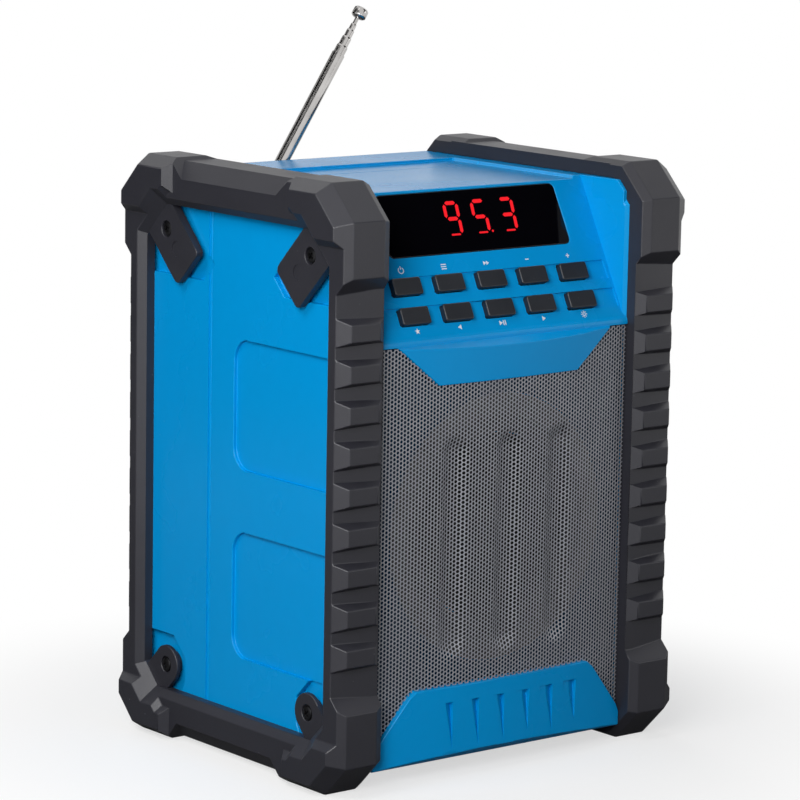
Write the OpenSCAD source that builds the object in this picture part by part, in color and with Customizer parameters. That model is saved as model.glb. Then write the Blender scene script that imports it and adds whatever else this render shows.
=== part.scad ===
// Jobsite radio: blue housing between two armoured side frames. X is width, -Y is the front, +Z is up.
// The origin is on the floor, under the middle of the radio. All sizes are in millimetres.

/* [Overall] */
// Width over the two side frames
width = 180.6; // [178:0.2:184]
// Depth over the corner bumpers
depth = 150; // [149:0.5:152]
// Height over the corner bumpers
height = 240; // [239:0.5:242]

/* [Side frames] */
// Width of one frame, from its inner to its outer side
frame_w = 25.5; // [25:0.1:26]
// How far the corner bumpers stand out sideways from the bars
side_layer = 3.5; // [3:0.1:4]
// How far the bars stay under the bumpers at the front and the back
bar_set_in = 6.4; // [6:0.1:6.8]
// How far the top and bottom bars stay under the bumpers
bar_drop = 1.4; // [1:0.1:2]
// Size of the 45 degree corners: front top, rear top, rear bottom, front bottom
corner_cuts = [14.1, 14.1, 12.4, 12.9];
// Length of the front and rear bumpers at the top
bumper_top = 36; // [34:1:38]
// Length of the bumpers on the upright bars
bumper_side = 35; // [33:1:37]

/* [Tread] */
// Number of tread blocks on an upright bar
block_count = 9; // [8:1:9]
// Distance from one block to the next
block_pitch = 15.88; // [15:0.1:16]
// Height of the upper edge of the top block
block_top = 188.6; // [188:0.1:189]
// How far the blocks' outer faces stay under the bumpers
block_set_in = 1.5; // [1:0.1:2]
// Height of a block's outer face
block_face = 6.8; // [6:0.1:7.2]

/* [Housing] */
// Width of the blue housing under the frames
body_w = 160; // [159:0.5:161]
// Floor of the housing above the ground
body_bottom = 7; // [6.5:0.1:8]
// Height of the rear part of the top
body_top = 232.8; // [232:0.1:233]
// Distance of the rear wall from the middle
rear_y = 68; // [67.5:0.1:68]
// Distance of the front wall behind the grille
baffle_y = 63.5; // [63:0.1:64]
// Place of the joint between the front and rear shells
seam_y = 21.8; // [20:0.1:24]
// Thickness of the front, rear, top and bottom walls
wall = 2.5; // [2:0.1:3]
// Thickness of the side walls
side_wall = 4; // [3.8:0.1:4.2]

/* [Control panel] */
// Lean of the control panel from upright, in degrees
panel_tilt = 26.15; // [25.5:0.05:26.5]
// Width of the display window
window_w = 92.8; // [90:0.4:94]
// Difference between the window's width at its lower and upper edges
window_taper = 1.4; // [0:0.2:2]
// Height of the display window
window_h = 26.2; // [25:0.2:27]
// Distance between buttons in a row
button_pitch = 21.5; // [21:0.1:22]
// Width of a button
button_w = 14; // [13:0.1:15]
// Height of a button
button_h = 7.1; // [6.5:0.1:7.5]
// Travel of a button
button_travel = 1; // [0.5:0.1:1.2]

/* [Grille] */
// Radius of the bowed front
bow_r = 480; // [460:5:520]
// Foremost line of the grille, from the middle of the radio
grille_front = 70; // [69.5:0.1:70.2]
// Thickness of the perforated sheet
sheet = 0.8; // [0.6:0.1:1]
// Distance between the three flutes
flute_pitch = 27; // [25:0.5:28]
// Width of a flute
flute_w = 15; // [13:0.5:16]

/* [Speaker] */
// Outer radius of the speaker's rim
speaker_r = 54; // [52:0.5:55]
// Height of the speaker's centre
speaker_z = 97.5; // [96:0.5:99]

/* [Antenna] */
// Lean of the antenna from upright, in degrees
antenna_lean = 33.5; // [30:0.5:36]
// Sideways place of the antenna's pivot
antenna_x = -25.1; // [-26:0.1:-24]
// Height of the antenna's pivot
antenna_z = 206; // [204:0.5:208]
// Distance of the antenna from the middle of the radio
antenna_y = 71.6; // [71.5:0.05:71.65]
// Length of the base tube, from the pivot to its open end
antenna_base = 83.4; // [80:0.1:85]

/* [Hidden] */
$fn = 48;

// Colours
blue = [0.0, 0.42, 0.78];
charcoal = [0.22, 0.22, 0.23];
graphite = [0.10, 0.10, 0.11];
steel = [0.62, 0.63, 0.65];
board_green = [0.05, 0.32, 0.18];

// Frames
x_out = width / 2;
x_in = x_out - frame_w;
x_bar = x_out - side_layer;
half_d = depth / 2;
mid_z = height / 2;
bar_y = half_d - bar_set_in;
bevel = [6.9, 4.2];
inner_bevel = [3.8, 1.9];
face_x = [x_in + inner_bevel[0], x_out - bevel[0]];
bar_top_z = height - bar_drop;
bar_foot_z = bar_drop + 0.1;
ring_y = 61.1;
ring_z = [20, 220.7];
ring_cuts = [14, 14, 9, 9];
ring_lip = 3;
bar_cuts = [22, 26, 21, 21];
lug_screw = [47.9, 210.4];
lug_w = 20.3;
lug_t = 3.7;
lug_lift = 0.3;
ear_screw = [48, 29.8];
ear_r = 8;
ear_t = 2.3;

// Housing
body_x = body_w / 2;
tray_z = 231.5;
tray_back = 38.5;
body_cuts = [8, 9, 8, 4];
body_edges = [4, 2.5, 2.5, 3];
recess_z = [42, 191.5];
recess_depth = 2.4;
pocket_y = [-72, 5.6];
pocket_z = [[41.9, 93.6], [118.6, 171.2]];
pocket_depth = 1.6;
pocket_r = 9;

// Control panel, measured down its slope from its top edge
panel_y = -38.5;
panel_top_z = 232;
fold_s = 61;
cheek_x = [61.2, 63.3];
cheek_rim = 1.2;
window_s = 14.8;
row_s = [39.9, 52];
channel_h = 7.9;
channel_depth = 0.7;
channel_x = [61.4, 62.6];
button_rise = 1.8;
button_gap = 0.15;
flange_top = -wall - 0.3;
stem_end = flange_top - 2.8;
board_top = -11;
board_t = 1.6;
panel_posts = [[50, 14, 3], [32.25, 57.5, 2.2]];

// Bowed front
lip_z = 174.6;
lip_front = 66.5;
name_z = [158.5, lip_z + 1];
name_x = [35.4, 54.8];
apron_z = [7, 37.4];
apron_front = 72;
name_front = 70.6;
grille_z = [13, lip_z - 0.4];
flute_z = [48, 138.5];
flute_depth = 1.8;
// Share of a flute's width left at a share of its depth
flute_steps = [[1.13, -0.3], [1, 0], [0.75, 0.25], [0.38, 0.8], [0.2, 1]];
wedge_count = 6;
wedge_pitch = 13;
wedge_first = -27.2;
groove_z = [11.6, 31];
groove_depth = 2.2;

// Speaker depths behind the front wall
rim_t = 3;
cone_r = 37.7;

// Antenna: outer radius, inner radius and the stretch that shows beyond the next larger tube
tube_r = [2.9, 2.5, 2.1, 1.7, 1.3, 0.9];
tube_bore = [2.6, 2.2, 1.8, 1.4, 1.0, 0];
tube_end = [antenna_base, antenna_base + 3.9, antenna_base + 8.2, antenna_base + 11.8,
    antenna_base + 14.8, antenna_base + 17.9];
tube_start = [4, 12, 13, 14, 15, 16];
pin_r = 1;

// Ports on the rear
port_x = 30;
port_z = 62;
port_w = 52;
port_h = 22;
port_depth = 6;
port_posts = [-8.8, 8.1];
cover_t = 3;
cover_gap = 0.4;
cover_pin_r = 0.8;
cover_pin_z = port_z - port_h / 2 + cover_gap + cover_t / 2;
cover_pin_y = rear_y - cover_t / 2;

// Inner parts
antenna_seat = 64.5;
swivel_face = 68.4;
shell_post = [58, 20, 216];
board_post = [40, 120, 190];
battery_x = [-38, -19];
battery_y = 49.8;
battery_r = 9.3;

module prism_x(x0, x1, points) {
    translate([x0, 0, 0]) rotate([90, 0, 90]) linear_extrude(x1 - x0) polygon(points);
}

module prism_y(y0, y1, points) {
    translate([0, y1, 0]) rotate([90, 0, 0]) linear_extrude(y1 - y0) polygon(points);
}

module prism_z(z0, z1, points) {
    translate([0, 0, z0]) linear_extrude(z1 - z0) polygon(points);
}

module block(low, high) {
    translate(low) cube(high - low);
}

module rod_x(x0, x1, r) {
    translate([x0, 0, 0]) rotate([0, 90, 0]) cylinder(h = x1 - x0, r = r);
}

module rod_y(y0, y1, r) {
    translate([0, y0, 0]) rotate([-90, 0, 0]) cylinder(h = y1 - y0, r = r);
}

// Rectangle with round corners, centred
module rounded(w, h, r) {
    for (i = [-1, 1], j = [-1, 1]) translate([i * (w / 2 - r), j * (h / 2 - r)]) circle(r);
    square([w - 2 * r, h], center = true);
    square([w, h - 2 * r], center = true);
}

// Side outline with four 45 degree corners: front top, rear top, rear bottom, front bottom
function octagon(y0, y1, z0, z1, c) = [
    [y0, z0 + c[3]], [y0, z1 - c[0]], [y0 + c[0], z1], [y1 - c[1], z1],
    [y1, z1 - c[1]], [y1, z0 + c[2]], [y1 - c[2], z0], [y0 + c[3], z0]
];

// Direction and distance of the eight sides of a centred outline, from its middle
function sides(hy, hz, c) = [
    [0, hy], [45, (hy + hz - c[1]) / sqrt(2)], [90, hz], [135, (hy + hz - c[0]) / sqrt(2)],
    [180, hy], [225, (hy + hz - c[3]) / sqrt(2)], [270, hz], [315, (hy + hz - c[2]) / sqrt(2)]
];

// Places one prism along each side of an outline, its own Z pointing outwards
module along_sides(hy, hz, c) {
    for (s = sides(hy, hz, c)) {
        translate([0, 0, mid_z]) rotate([s[0] - 90, 0, 0]) translate([0, 0, s[1]]) children();
    }
}

module mirrored_y() {
    children();
    mirror([0, 1, 0]) children();
}

// ---- Side frames, made on the +X side ----

module bar_ring() {
    bar_in = bar_y + 1.6;
    plan = [[x_in, -bar_in], [face_x[0], -bar_in], [x_bar, -bar_y], [x_out, -bar_y + 4],
        [x_out, bar_y - 4], [x_bar, bar_y], [face_x[0], bar_in], [x_in, bar_in]];
    front = [[x_in, bar_foot_z], [x_bar - 6.3, bar_foot_z], [x_bar, bar_foot_z + 8.4],
        [x_out, bar_foot_z + 13], [x_out, bar_top_z - 11], [x_bar, bar_top_z - 6.6],
        [x_bar - 6.3, bar_top_z], [x_in, bar_top_z]];
    intersection() {
        prism_z(bar_foot_z, bar_top_z, plan);
        prism_y(-half_d, half_d, front);
        prism_x(x_in, x_out, octagon(-half_d + 1, half_d - 1, 1, height - 1, bar_cuts));
    }
}

// Bar between two bumpers: cuts the bumper layer away down to the bar
module upright_gap() {
    low = corner_cuts[3] + bumper_side - 13.6;
    high = height - corner_cuts[0] - bumper_side + 13.3;
    deep = 15;
    prism_x(x_in - 1, x_out + 1, [[-half_d - 5, low], [-half_d, low], [-half_d + deep, low + deep],
        [-half_d + deep, high - deep], [-half_d, high], [-half_d - 5, high]]);
}

module level_gap(z, way) {
    y0 = -half_d + bumper_top + 0.9;
    y1 = half_d - bumper_top + 2.5;
    deep = 8;
    prism_x(x_in - 1, x_out + 1, [[y0, z + way * 5], [y0, z], [y0 + deep, z - way * deep],
        [y1 - deep, z - way * deep], [y1, z], [y1, z + way * 5]]);
}

module side_gap() {
    slope = side_layer - 0.5;
    z = [19.8, 218.8];
    y = 42.3;
    x1 = x_out + 2;
    more = 2 * slope / side_layer;
    prism_y(-half_d - 1, half_d + 1, [[x_bar, z[0] + slope], [x_bar, z[1] - slope],
        [x1, z[1] + more], [x1, z[0] - more]]);
    prism_z(-1, height + 1, [[x_bar, -y + slope], [x_bar, y - slope],
        [x1, y + more], [x1, -y - more]]);
}

// Inner edge of the bumpers' side faces, sloping down to the bars
module side_layer_inside() {
    hy = 65;
    hz = 109;
    c = [22, 22, 20, 20];
    difference() {
        prism_x(x_bar, x_out + 1, octagon(-hy, hy, mid_z - hz, mid_z + hz, c));
        along_sides(hy, hz, c) {
            prism_y(-half_d, half_d, [[x_bar - 1, -3.86], [x_out, 0], [x_out + 0.5, 0.43],
                [x_out + 0.5, 1], [x_bar - 1, 1]]);
        }
    }
}

module bumper_ring() {
    outward = bevel[1] / bevel[0];
    inward = inner_bevel[1] / inner_bevel[0];
    difference() {
        prism_x(x_in, x_out, octagon(-half_d, half_d, 0, height, corner_cuts));
        along_sides(half_d, mid_z, corner_cuts) {
            prism_y(-height, height, [[face_x[1] - 2, 2 * outward], [x_out + 2, 2 * outward],
                [x_out + 2, -bevel[1] - 2 * outward]]);
            prism_y(-height, height, [[face_x[0] + 2, 2 * inward], [x_in - 2, 2 * inward],
                [x_in - 2, -inner_bevel[1] - 2 * inward]]);
        }
        mirrored_y() upright_gap();
        level_gap(height, 1);
        level_gap(0, -1);
    }
}

module tread_block() {
    face_y = half_d - block_set_in;
    plan = [[x_in, -bar_y - 1.4], [face_x[0], -face_y], [x_bar - 4.2, -face_y], [x_bar, -bar_y],
        [x_bar - 1, -bar_y + 4], [x_in, -bar_y + 4]];
    side = [[-face_y + 10, 4.8], [-face_y, 0], [-face_y - 1, -0.48], [-face_y - 1, -block_face + 0.44],
        [-face_y + 10, -block_face - 4.4]];
    intersection() {
        prism_z(-block_face - 5, 5, plan);
        prism_x(x_in, x_bar, side);
    }
}

// The ring's opening: sloped from the side faces in to a straight throat
module ring_opening() {
    hz = (ring_z[1] - ring_z[0]) / 2;
    low = mid_z - (ring_z[1] + ring_z[0]) / 2;
    throat = x_bar - ring_lip;
    translate([0, 0, -low]) {
        prism_x(body_x, x_out + 1, octagon(-ring_y, ring_y, mid_z - hz, mid_z + hz, ring_cuts));
        difference() {
            prism_x(throat - 0.5, x_out + 1, octagon(-ring_y - 8, ring_y + 8, mid_z - hz - 8,
                mid_z + hz + 8, ring_cuts + [4.7, 4.7, 4.7, 4.7]));
            along_sides(ring_y, hz, ring_cuts - [0.5, 0.5, 0.5, 0.5]) {
                prism_y(-height, height, [[throat - 1, -1], [x_out + 1, x_out + 1 - throat],
                    [x_out + 1, 14], [throat - 1, 14]]);
            }
        }
    }
}

// Blind pocket in which the corner of the housing sits
module housing_pocket() {
    prism_x(x_in - 1, body_x, octagon(-baffle_y, rear_y, body_bottom, body_top, body_cuts));
}

module lug_blank(t) {
    end = 21;
    reach = 16;
    translate([0, lug_screw[0], lug_screw[1]]) rotate([45, 0, 0]) {
        rotate([90, 0, 90]) linear_extrude(t) {
            translate([(reach - end) / 2, 0]) rounded(reach + end, lug_w, 2.4);
        }
    }
}

module ear_blank(t) {
    rotate([90, 0, 90]) linear_extrude(t) {
        translate(ear_screw) circle(ear_r);
        translate(ear_screw) rotate(-45) translate([0, -ear_r + 0.15]) square([14, 2 * ear_r - 0.3]);
    }
}

module lug_holes() {
    translate([0, lug_screw[0], lug_screw[1]]) {
        rod_x(body_x - recess_depth - 1, x_out, 1.6);
        rod_x(body_x + lug_t - 1.8, x_out, 3.3);
    }
    translate([0, ear_screw[0], ear_screw[1]]) {
        rod_x(body_x - recess_depth - 1, x_out, 1.6);
        rod_x(body_x + ear_t - 1.2, x_out, 3.3);
    }
    translate([0, lug_screw[0] - 7.3, lug_screw[1] - 7.3]) rod_x(body_x + lug_t - 0.3, x_out, 3.2);
}

module side_frame() {
    base = body_x - recess_depth;
    difference() {
        union() {
            difference() {
                union() {
                    difference() {
                        union() {
                            bar_ring();
                            bumper_ring();
                        }
                        side_gap();
                        side_layer_inside();
                    }
                    mirrored_y() for (i = [0 : block_count - 1]) {
                        translate([0, 0, block_top - 2.1 - i * block_pitch]) tread_block();
                    }
                }
                ring_opening();
                housing_pocket();
            }
            intersection() {
                mirrored_y() union() {
                    translate([body_x + lug_lift, 0, 0]) lug_blank(lug_t - lug_lift);
                    translate([body_x + lug_lift, 0, 0]) ear_blank(ear_t - lug_lift);
                    translate([0, lug_screw[0], lug_screw[1]]) rod_x(base, body_x + 1, 6);
                    translate([0, ear_screw[0], ear_screw[1]]) rod_x(base, body_x + 1, 5.5);
                }
                prism_x(base, x_out, octagon(-ring_y - 3, ring_y + 3, 16, 226, ring_cuts));
            }
        }
        mirrored_y() lug_holes();
    }
}

module left_frame() {
    color(charcoal) mirror([1, 0, 0]) side_frame();
}

module right_frame() {
    color(charcoal) side_frame();
}

// ---- Housing ----

// Places things on the control panel: X across, Y up the slope, Z outwards
module on_panel() {
    translate([0, panel_y, panel_top_z]) rotate([90 - panel_tilt, 0, 0]) children();
}

function panel_point(s, w) = [
    panel_y - s * sin(panel_tilt) - w * cos(panel_tilt),
    panel_top_z - s * cos(panel_tilt) + w * sin(panel_tilt)
];

module bowed(front, r = bow_r) {
    translate([0, -front + r, 0]) cylinder(h = height, r = r, $fn = 400);
}

module nameplate() {
    intersection() {
        bowed(name_front);
        prism_y(-name_front - 1, -baffle_y + 1, [[-name_x[0], name_z[0]], [name_x[0], name_z[0]],
            [name_x[1], lip_z], [name_x[1], name_z[1]], [-name_x[1], name_z[1]], [-name_x[1], lip_z]]);
        prism_x(-60, 60, [[-baffle_y + 1, name_z[0]], [-name_front - 1, name_z[0]],
            [-name_front - 1, lip_z - 2.9], [-lip_front + 0.4, lip_z + 0.25],
            [-lip_front + 0.4, name_z[1]], [-baffle_y + 1, name_z[1]]]);
    }
}

// Rounded nose under the control panel, over the top edge of the grille
module lip() {
    nose = panel_point(fold_s - 1, 0);
    prism_x(-x_in, x_in, [[-baffle_y + 1, lip_z], [-lip_front, lip_z], [-lip_front, lip_z + 1],
        [-lip_front + 0.3, lip_z + 2], nose, panel_point(fold_s - 4, 0), [-baffle_y + 1, lip_z + 8]]);
}

module apron_outline() {
    polygon([[-x_in + 0.2, apron_z[0]], [x_in - 0.2, apron_z[0]], [x_in - 0.2, 13], [63, 16.4],
        [48, 34.8], [44.6, apron_z[1]], [-44.6, apron_z[1]], [-48, 34.8], [-63, 16.4],
        [-x_in + 0.2, 13]]);
}

module apron() {
    difference() {
        intersection() {
            bowed(apron_front);
            translate([0, -baffle_y + 1, 0]) rotate([90, 0, 0]) linear_extrude(12) apron_outline();
            prism_x(-66, 66, [[-baffle_y + 1, apron_z[0]], [-67, apron_z[0]], [-75, 12.6],
                [-75, 40], [-baffle_y + 1, 40]]);
        }
        for (i = [0 : wedge_count - 1]) apron_groove(wedge_first + i * wedge_pitch);
    }
}

// Tapered groove: deep at the top against its right wall, running out to the left and downwards
module apron_groove(x) {
    y = -apron_front + (x * x) / (2 * bow_r);
    top = groove_z[1];
    translate([x, y, groove_z[0]]) rotate([-atan(groove_depth / (top - groove_z[0])), 0, 0]) {
        prism_z(-3, top - groove_z[0], [[0, -3], [0, 0], [-3.4, -groove_depth + 0.4],
            [-7, -groove_depth], [-7, -3]]);
    }
}

function cheek_outline(inset) = [
    [-baffle_y + 1, lip_z], [-65.5 + inset, lip_z], [-65.5 + inset, 223 - 0.4 * inset],
    [-57.5 + 0.4 * inset, 231 - inset], [-52, tray_z + 0.6 - inset], [-30, tray_z + 0.6 - inset],
    [-30, lip_z]
];

// Side wall of the recess, its edge sloped towards the frame
module cheek(way) {
    mirror([way, 0, 0]) {
        prism_x(cheek_x[0] - 6, x_in - 1.6, cheek_outline(cheek_rim));
        hull() {
            prism_x(x_in - 1.7, x_in - 1.6, cheek_outline(cheek_rim));
            prism_x(x_in - 0.2, x_in, cheek_outline(0));
        }
    }
}

// Wedge of space in front of the control panel, between the cheeks
module panel_recess() {
    intersection() {
        prism_x(-x_in - 1, x_in + 1, [panel_point(-4, 0), panel_point(fold_s - 1, 0),
            [-lip_front + 0.3, lip_z + 2], [-lip_front - 1, lip_z + 1], [-90, lip_z + 1],
            [-90, body_top + 5], [panel_y, body_top + 5]]);
        prism_z(lip_z - 20, body_top + 10, [[-cheek_x[0], -30], [cheek_x[0], -30],
            [cheek_x[1], -66], [cheek_x[1], -90], [-cheek_x[1], -90], [-cheek_x[1], -66]]);
    }
}

module tray_cut() {
    prism_y(-80, tray_back, [[-56, tray_z + 3], [-60, tray_z + 3], [-57, tray_z], [57, tray_z],
        [60, tray_z + 3]]);
}

module pocket_cut(way, z) {
    x0 = body_x - pocket_depth;
    mirror([way, 0, 0]) translate([x0, (pocket_y[0] + pocket_y[1]) / 2, (z[0] + z[1]) / 2]) {
        rotate([90, 0, 90]) linear_extrude(5) {
            rounded(pocket_y[1] - pocket_y[0], z[1] - z[0], pocket_r);
        }
    }
}

// Shallow groove along the joint of the two shells
module seam_groove(way) {
    mirror([way, 0, 0]) block([body_x - 0.5, seam_y - 2.5, 0], [body_x + 1, seam_y + 1.3, height]);
}

// Lower panels in the corners, under the frames' lugs and ears
module corner_recesses(way) {
    x0 = body_x - recess_depth;
    mirror([way, 0, 0]) mirrored_y() {
        prism_x(x0, body_x + 1, [[70, recess_z[1]], [27, recess_z[1]], [20, 198.5], [52, 234], [70, 234]]);
        prism_x(x0, body_x + 1, [[70, recess_z[0]], [46, recess_z[0]], [38, 34], [38, 24], [46, 8],
            [70, 8]]);
    }
}

module body_blank() {
    difference() {
        union() {
            prism_x(-body_x, body_x, octagon(-baffle_y, rear_y, body_bottom, body_top, body_cuts));
            prism_x(-x_in, x_in, octagon(-baffle_y, rear_y, body_bottom, body_top, body_edges));
            cheek(0);
            cheek(1);
            lip();
        }
        panel_recess();
        tray_cut();
        for (way = [0, 1]) {
            corner_recesses(way);
            seam_groove(way);
            for (z = pocket_z) pocket_cut(way, z);
        }
    }
}

module body_cavity() {
    inner_x = body_x - side_wall;
    roof = tray_z - wall;
    intersection() {
        prism_x(-inner_x, inner_x, [
            [-baffle_y + wall + 4, body_bottom + wall], [-baffle_y + wall, body_bottom + wall + 4],
            [-baffle_y + wall, lip_z - 3.7],
            panel_point(fold_s - 2, -wall), panel_point(5, -wall), [panel_point(5, -wall)[0] + 3, roof],
            [rear_y - wall - 8, roof], [rear_y - wall, roof - 8],
            [rear_y - wall, body_bottom + wall + 7], [rear_y - wall - 7, body_bottom + wall]
        ]);
        prism_z(0, height, [[-56.5, -70], [56.5, -70], [56.5, -48], [inner_x, -36], [inner_x, 80],
            [-inner_x, 80], [-inner_x, -36], [-56.5, -48]]);
    }
}

module button_place(i) {
    translate([(i % 5 - 2) * button_pitch, -row_s[floor(i / 5)], 0]) children();
}

// Outline of the display window, wider at its lower edge
module window_outline(gap) {
    r = 2.5 - gap;
    y = window_h / 2 - gap - r;
    hull() for (way = [-1, 1]) {
        x = (window_w - way * window_taper / 2) / 2 - gap - r;
        for (side = [-1, 1]) translate([side * x, way * y]) circle(r);
    }
}

module panel_openings() {
    on_panel() {
        translate([0, -window_s, -2.05]) linear_extrude(5) window_outline(0);
        translate([0, -window_s, -8]) linear_extrude(8) rounded(window_w - 8, window_h - 4.8, 1);
        for (s = [0, 1]) {
            translate([0, -row_s[s], -channel_depth]) linear_extrude(4) {
                polygon([[-channel_x[s], -channel_h / 2], [channel_x[s], -channel_h / 2],
                    [channel_x[s] - 0.5, channel_h / 2], [-channel_x[s] + 0.5, channel_h / 2]]);
            }
        }
        for (i = [0 : 9]) button_place(i) translate([0, 0, -8]) linear_extrude(8) {
            rounded(button_w + 2 * button_gap, button_h + 2 * button_gap, 1.2);
        }
    }
}

module at_speaker() {
    translate([0, -baffle_y, speaker_z]) rotate([-90, 0, 0]) children();
}

module speaker_screw_places(r) {
    for (a = [45, 135, 225, 315]) rotate(a) translate([r, 0, 0]) children();
}

module at_board_posts() {
    for (x = [-1, 1], z = [1, 2]) translate([x * board_post[0], 0, board_post[z]]) children();
}

module at_shell_posts() {
    for (x = [-1, 1], z = [1, 2]) translate([x * shell_post[0], 0, shell_post[z]]) children();
}

module at_panel_posts() {
    on_panel() for (p = panel_posts, way = [-1, 1]) translate([way * p[0], -p[1], 0]) children();
}

module at_port_posts() {
    for (x = port_posts) translate([port_x + x, 0, port_z]) children();
}

// Posts that the rear shell is screwed to, each on a rib from the side wall
module front_posts() {
    at_shell_posts() rod_y(4, seam_y, 4);
    for (way = [0, 1], z = [1, 2]) mirror([way, 0, 0]) translate([0, 0, shell_post[z]]) {
        block([shell_post[0], 4, -1.2], [body_x - side_wall + 0.5, seam_y - 2.5, 1.2]);
    }
}

module panel_post_blanks() {
    on_panel() for (p = panel_posts, way = [-1, 1]) {
        translate([way * p[0], -p[1], board_top]) cylinder(h = -board_top - wall + 0.5, r = p[2]);
    }
}

module side_screw_holes() {
    for (way = [0, 1]) mirror([way, 0, 0]) mirrored_y() {
        for (p = [lug_screw, ear_screw]) {
            translate([0, p[0], p[1]]) rod_x(body_x - side_wall - 8.5, body_x, 1.25);
        }
    }
}

module side_screw_bosses() {
    for (way = [0, 1]) mirror([way, 0, 0]) mirrored_y() {
        for (p = [lug_screw, ear_screw]) {
            translate([0, p[0], p[1]]) rod_x(body_x - side_wall - 7, body_x - side_wall + 0.5, 3.2);
        }
    }
}

module front_shell() {
    color(blue) difference() {
        union() {
            difference() {
                body_blank();
                body_cavity();
            }
            nameplate();
            apron();
            at_speaker() translate([0, 0, wall - 0.5]) cylinder(h = 3, r = 56.4);
            side_screw_bosses();
            front_posts();
            panel_post_blanks();
        }
        translate([0, seam_y, 0]) block([-100, 0, -10], [100, 100, 260]);
        panel_openings();
        at_speaker() {
            translate([0, 0, -8]) cylinder(h = 8 + rim_t, r = speaker_r + 0.2, $fn = 96);
            cylinder(h = 8, r = 47.5, $fn = 96);
            speaker_screw_places(50.8) cylinder(h = 5.4, r = 1.2);
        }
        at_shell_posts() rod_y(7, seam_y + 1, 1.4);
        at_panel_posts() translate([0, 0, board_top - 1]) cylinder(h = 7, r = 0.9);
        side_screw_holes();
    }
}

module port_recess() {
    translate([port_x, rear_y + 1, port_z]) rotate([90, 0, 0]) linear_extrude(port_depth + 1) {
        square([port_w, port_h], center = true);
    }
}

module rear_shell() {
    color(blue) difference() {
        union() {
            difference() {
                body_blank();
                body_cavity();
            }
            side_screw_bosses();
            at_shell_posts() rod_y(seam_y, rear_y - wall + 0.5, 5.4);
            at_board_posts() rod_y(50, rear_y - wall + 0.5, 3.5);
            translate([port_x, rear_y - 1, port_z]) rotate([90, 0, 0]) {
                linear_extrude(9) rounded(port_w + 6, port_h + 5, 4);
            }
            translate([antenna_x, 0, antenna_z]) rod_y(56, rear_y - 1, 10);
            battery_ribs();
            at_port_posts() rod_y(49, rear_y - 9, 2.4);
        }
        block([-100, -100, -10], [100, seam_y, 260]);
        at_shell_posts() {
            rod_y(seam_y - 1, rear_y + 1, 1.7);
            rod_y(34, rear_y + 1, 3.6);
        }
        at_board_posts() rod_y(49, 60, 1.2);
        at_port_posts() rod_y(48, 57, 0.9);
        port_recess();
        translate([port_x, cover_pin_y, cover_pin_z]) {
            rod_x(-port_w / 2 - 2, port_w / 2 + 2, cover_pin_r + 0.05);
        }
        port_sockets(0.15, 56, 66);
        translate([antenna_x, 0, antenna_z]) {
            rod_y(antenna_seat, rear_y + 1, 6);
            rod_y(50, rear_y, 2.55);
        }
        side_screw_holes();
    }
}

module battery_ribs() {
    for (x = [battery_x[0] - battery_r - 4.5, battery_x[1] + battery_r + 2]) {
        block([x, 40, body_bottom + wall - 0.5], [x + 2.5, rear_y - wall - 6.5, 22]);
    }
}

module shell_seal() {
    color(graphite) difference() {
        prism_x(-body_x + side_wall, body_x - side_wall, octagon(-100, 100, body_bottom + wall,
            tray_z - wall, [0, 0, 0, 0]));
        block([-100, -200, -10], [100, seam_y - 2, 260]);
        block([-100, seam_y + 2, -10], [100, 200, 260]);
        block([-body_x + side_wall + 1.2, 0, body_bottom + wall + 1.2],
            [body_x - side_wall - 1.2, 60, tray_z - wall - 1.2]);
    }
}

// ---- Grille ----

module grille_outline() {
    difference() {
        translate([-x_in + 0.2, grille_z[0]]) square([2 * x_in - 0.4, grille_z[1] - grille_z[0]]);
        polygon([[-name_x[0] - 0.3, name_z[0] - 0.4], [name_x[0] + 0.3, name_z[0] - 0.4],
            [name_x[1] + 0.4, lip_z - 0.2], [name_x[1] + 0.4, 200], [-name_x[1] - 0.4, 200],
            [-name_x[1] - 0.4, lip_z - 0.2]]);
        polygon([[-80, 0], [80, 0], [80, 12.9], [x_in, 13.6], [63.4, 16.7], [48.3, 35.1],
            [44.8, apron_z[1] + 0.4], [-44.8, apron_z[1] + 0.4], [-48.3, 35.1], [-63.4, 16.7],
            [-x_in, 13.6], [-80, 12.9]]);
    }
}

// The three flutes, each square to the bowed sheet
module flutes() {
    half = [for (step = flute_steps) [flute_w / 2 * step[0], flute_depth * step[1]]];
    last = len(half) - 1;
    left = [for (k = [last : -1 : 0]) [-half[k][0], half[k][1]]];
    low = flute_z[0] + flute_w / 2;
    high = flute_z[1] - flute_w / 2;
    angle = asin(flute_pitch / bow_r);
    for (i = [-1, 0, 1]) rotate([0, 0, i * angle]) translate([0, -bow_r, 0]) {
        prism_z(low, high, concat(half, left));
        for (z = [low, high]) translate([0, 0, z]) rotate([-90, 0, 0]) rotate_extrude() {
            polygon(concat([[0, half[0][1]]], half, [[0, half[last][1]]]));
        }
    }
}

module fluted(front, r) {
    translate([0, r - front, 0]) difference() {
        cylinder(h = height, r = r, $fn = 400);
        translate([0, bow_r - r, 0]) flutes();
    }
}

module grille() {
    color([0.42, 0.42, 0.45]) union() {
        intersection() {
            difference() {
                fluted(grille_front, bow_r);
                fluted(grille_front - sheet, bow_r - sheet);
            }
            translate([0, -50, 0]) rotate([90, 0, 0]) linear_extrude(30) grille_outline();
        }
        for (way = [0, 1]) mirror([way, 0, 0]) {
            block([x_in - 0.2 - sheet, -66.2, grille_z[0] + 3], [x_in - 0.2, -baffle_y, grille_z[1]]);
        }
    }
}

// ---- Control panel parts ----

module display_window() {
    color([0.03, 0.02, 0.03]) on_panel() translate([0, -window_s, -2]) linear_extrude(2) {
        window_outline(0.1);
    }
}

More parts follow.
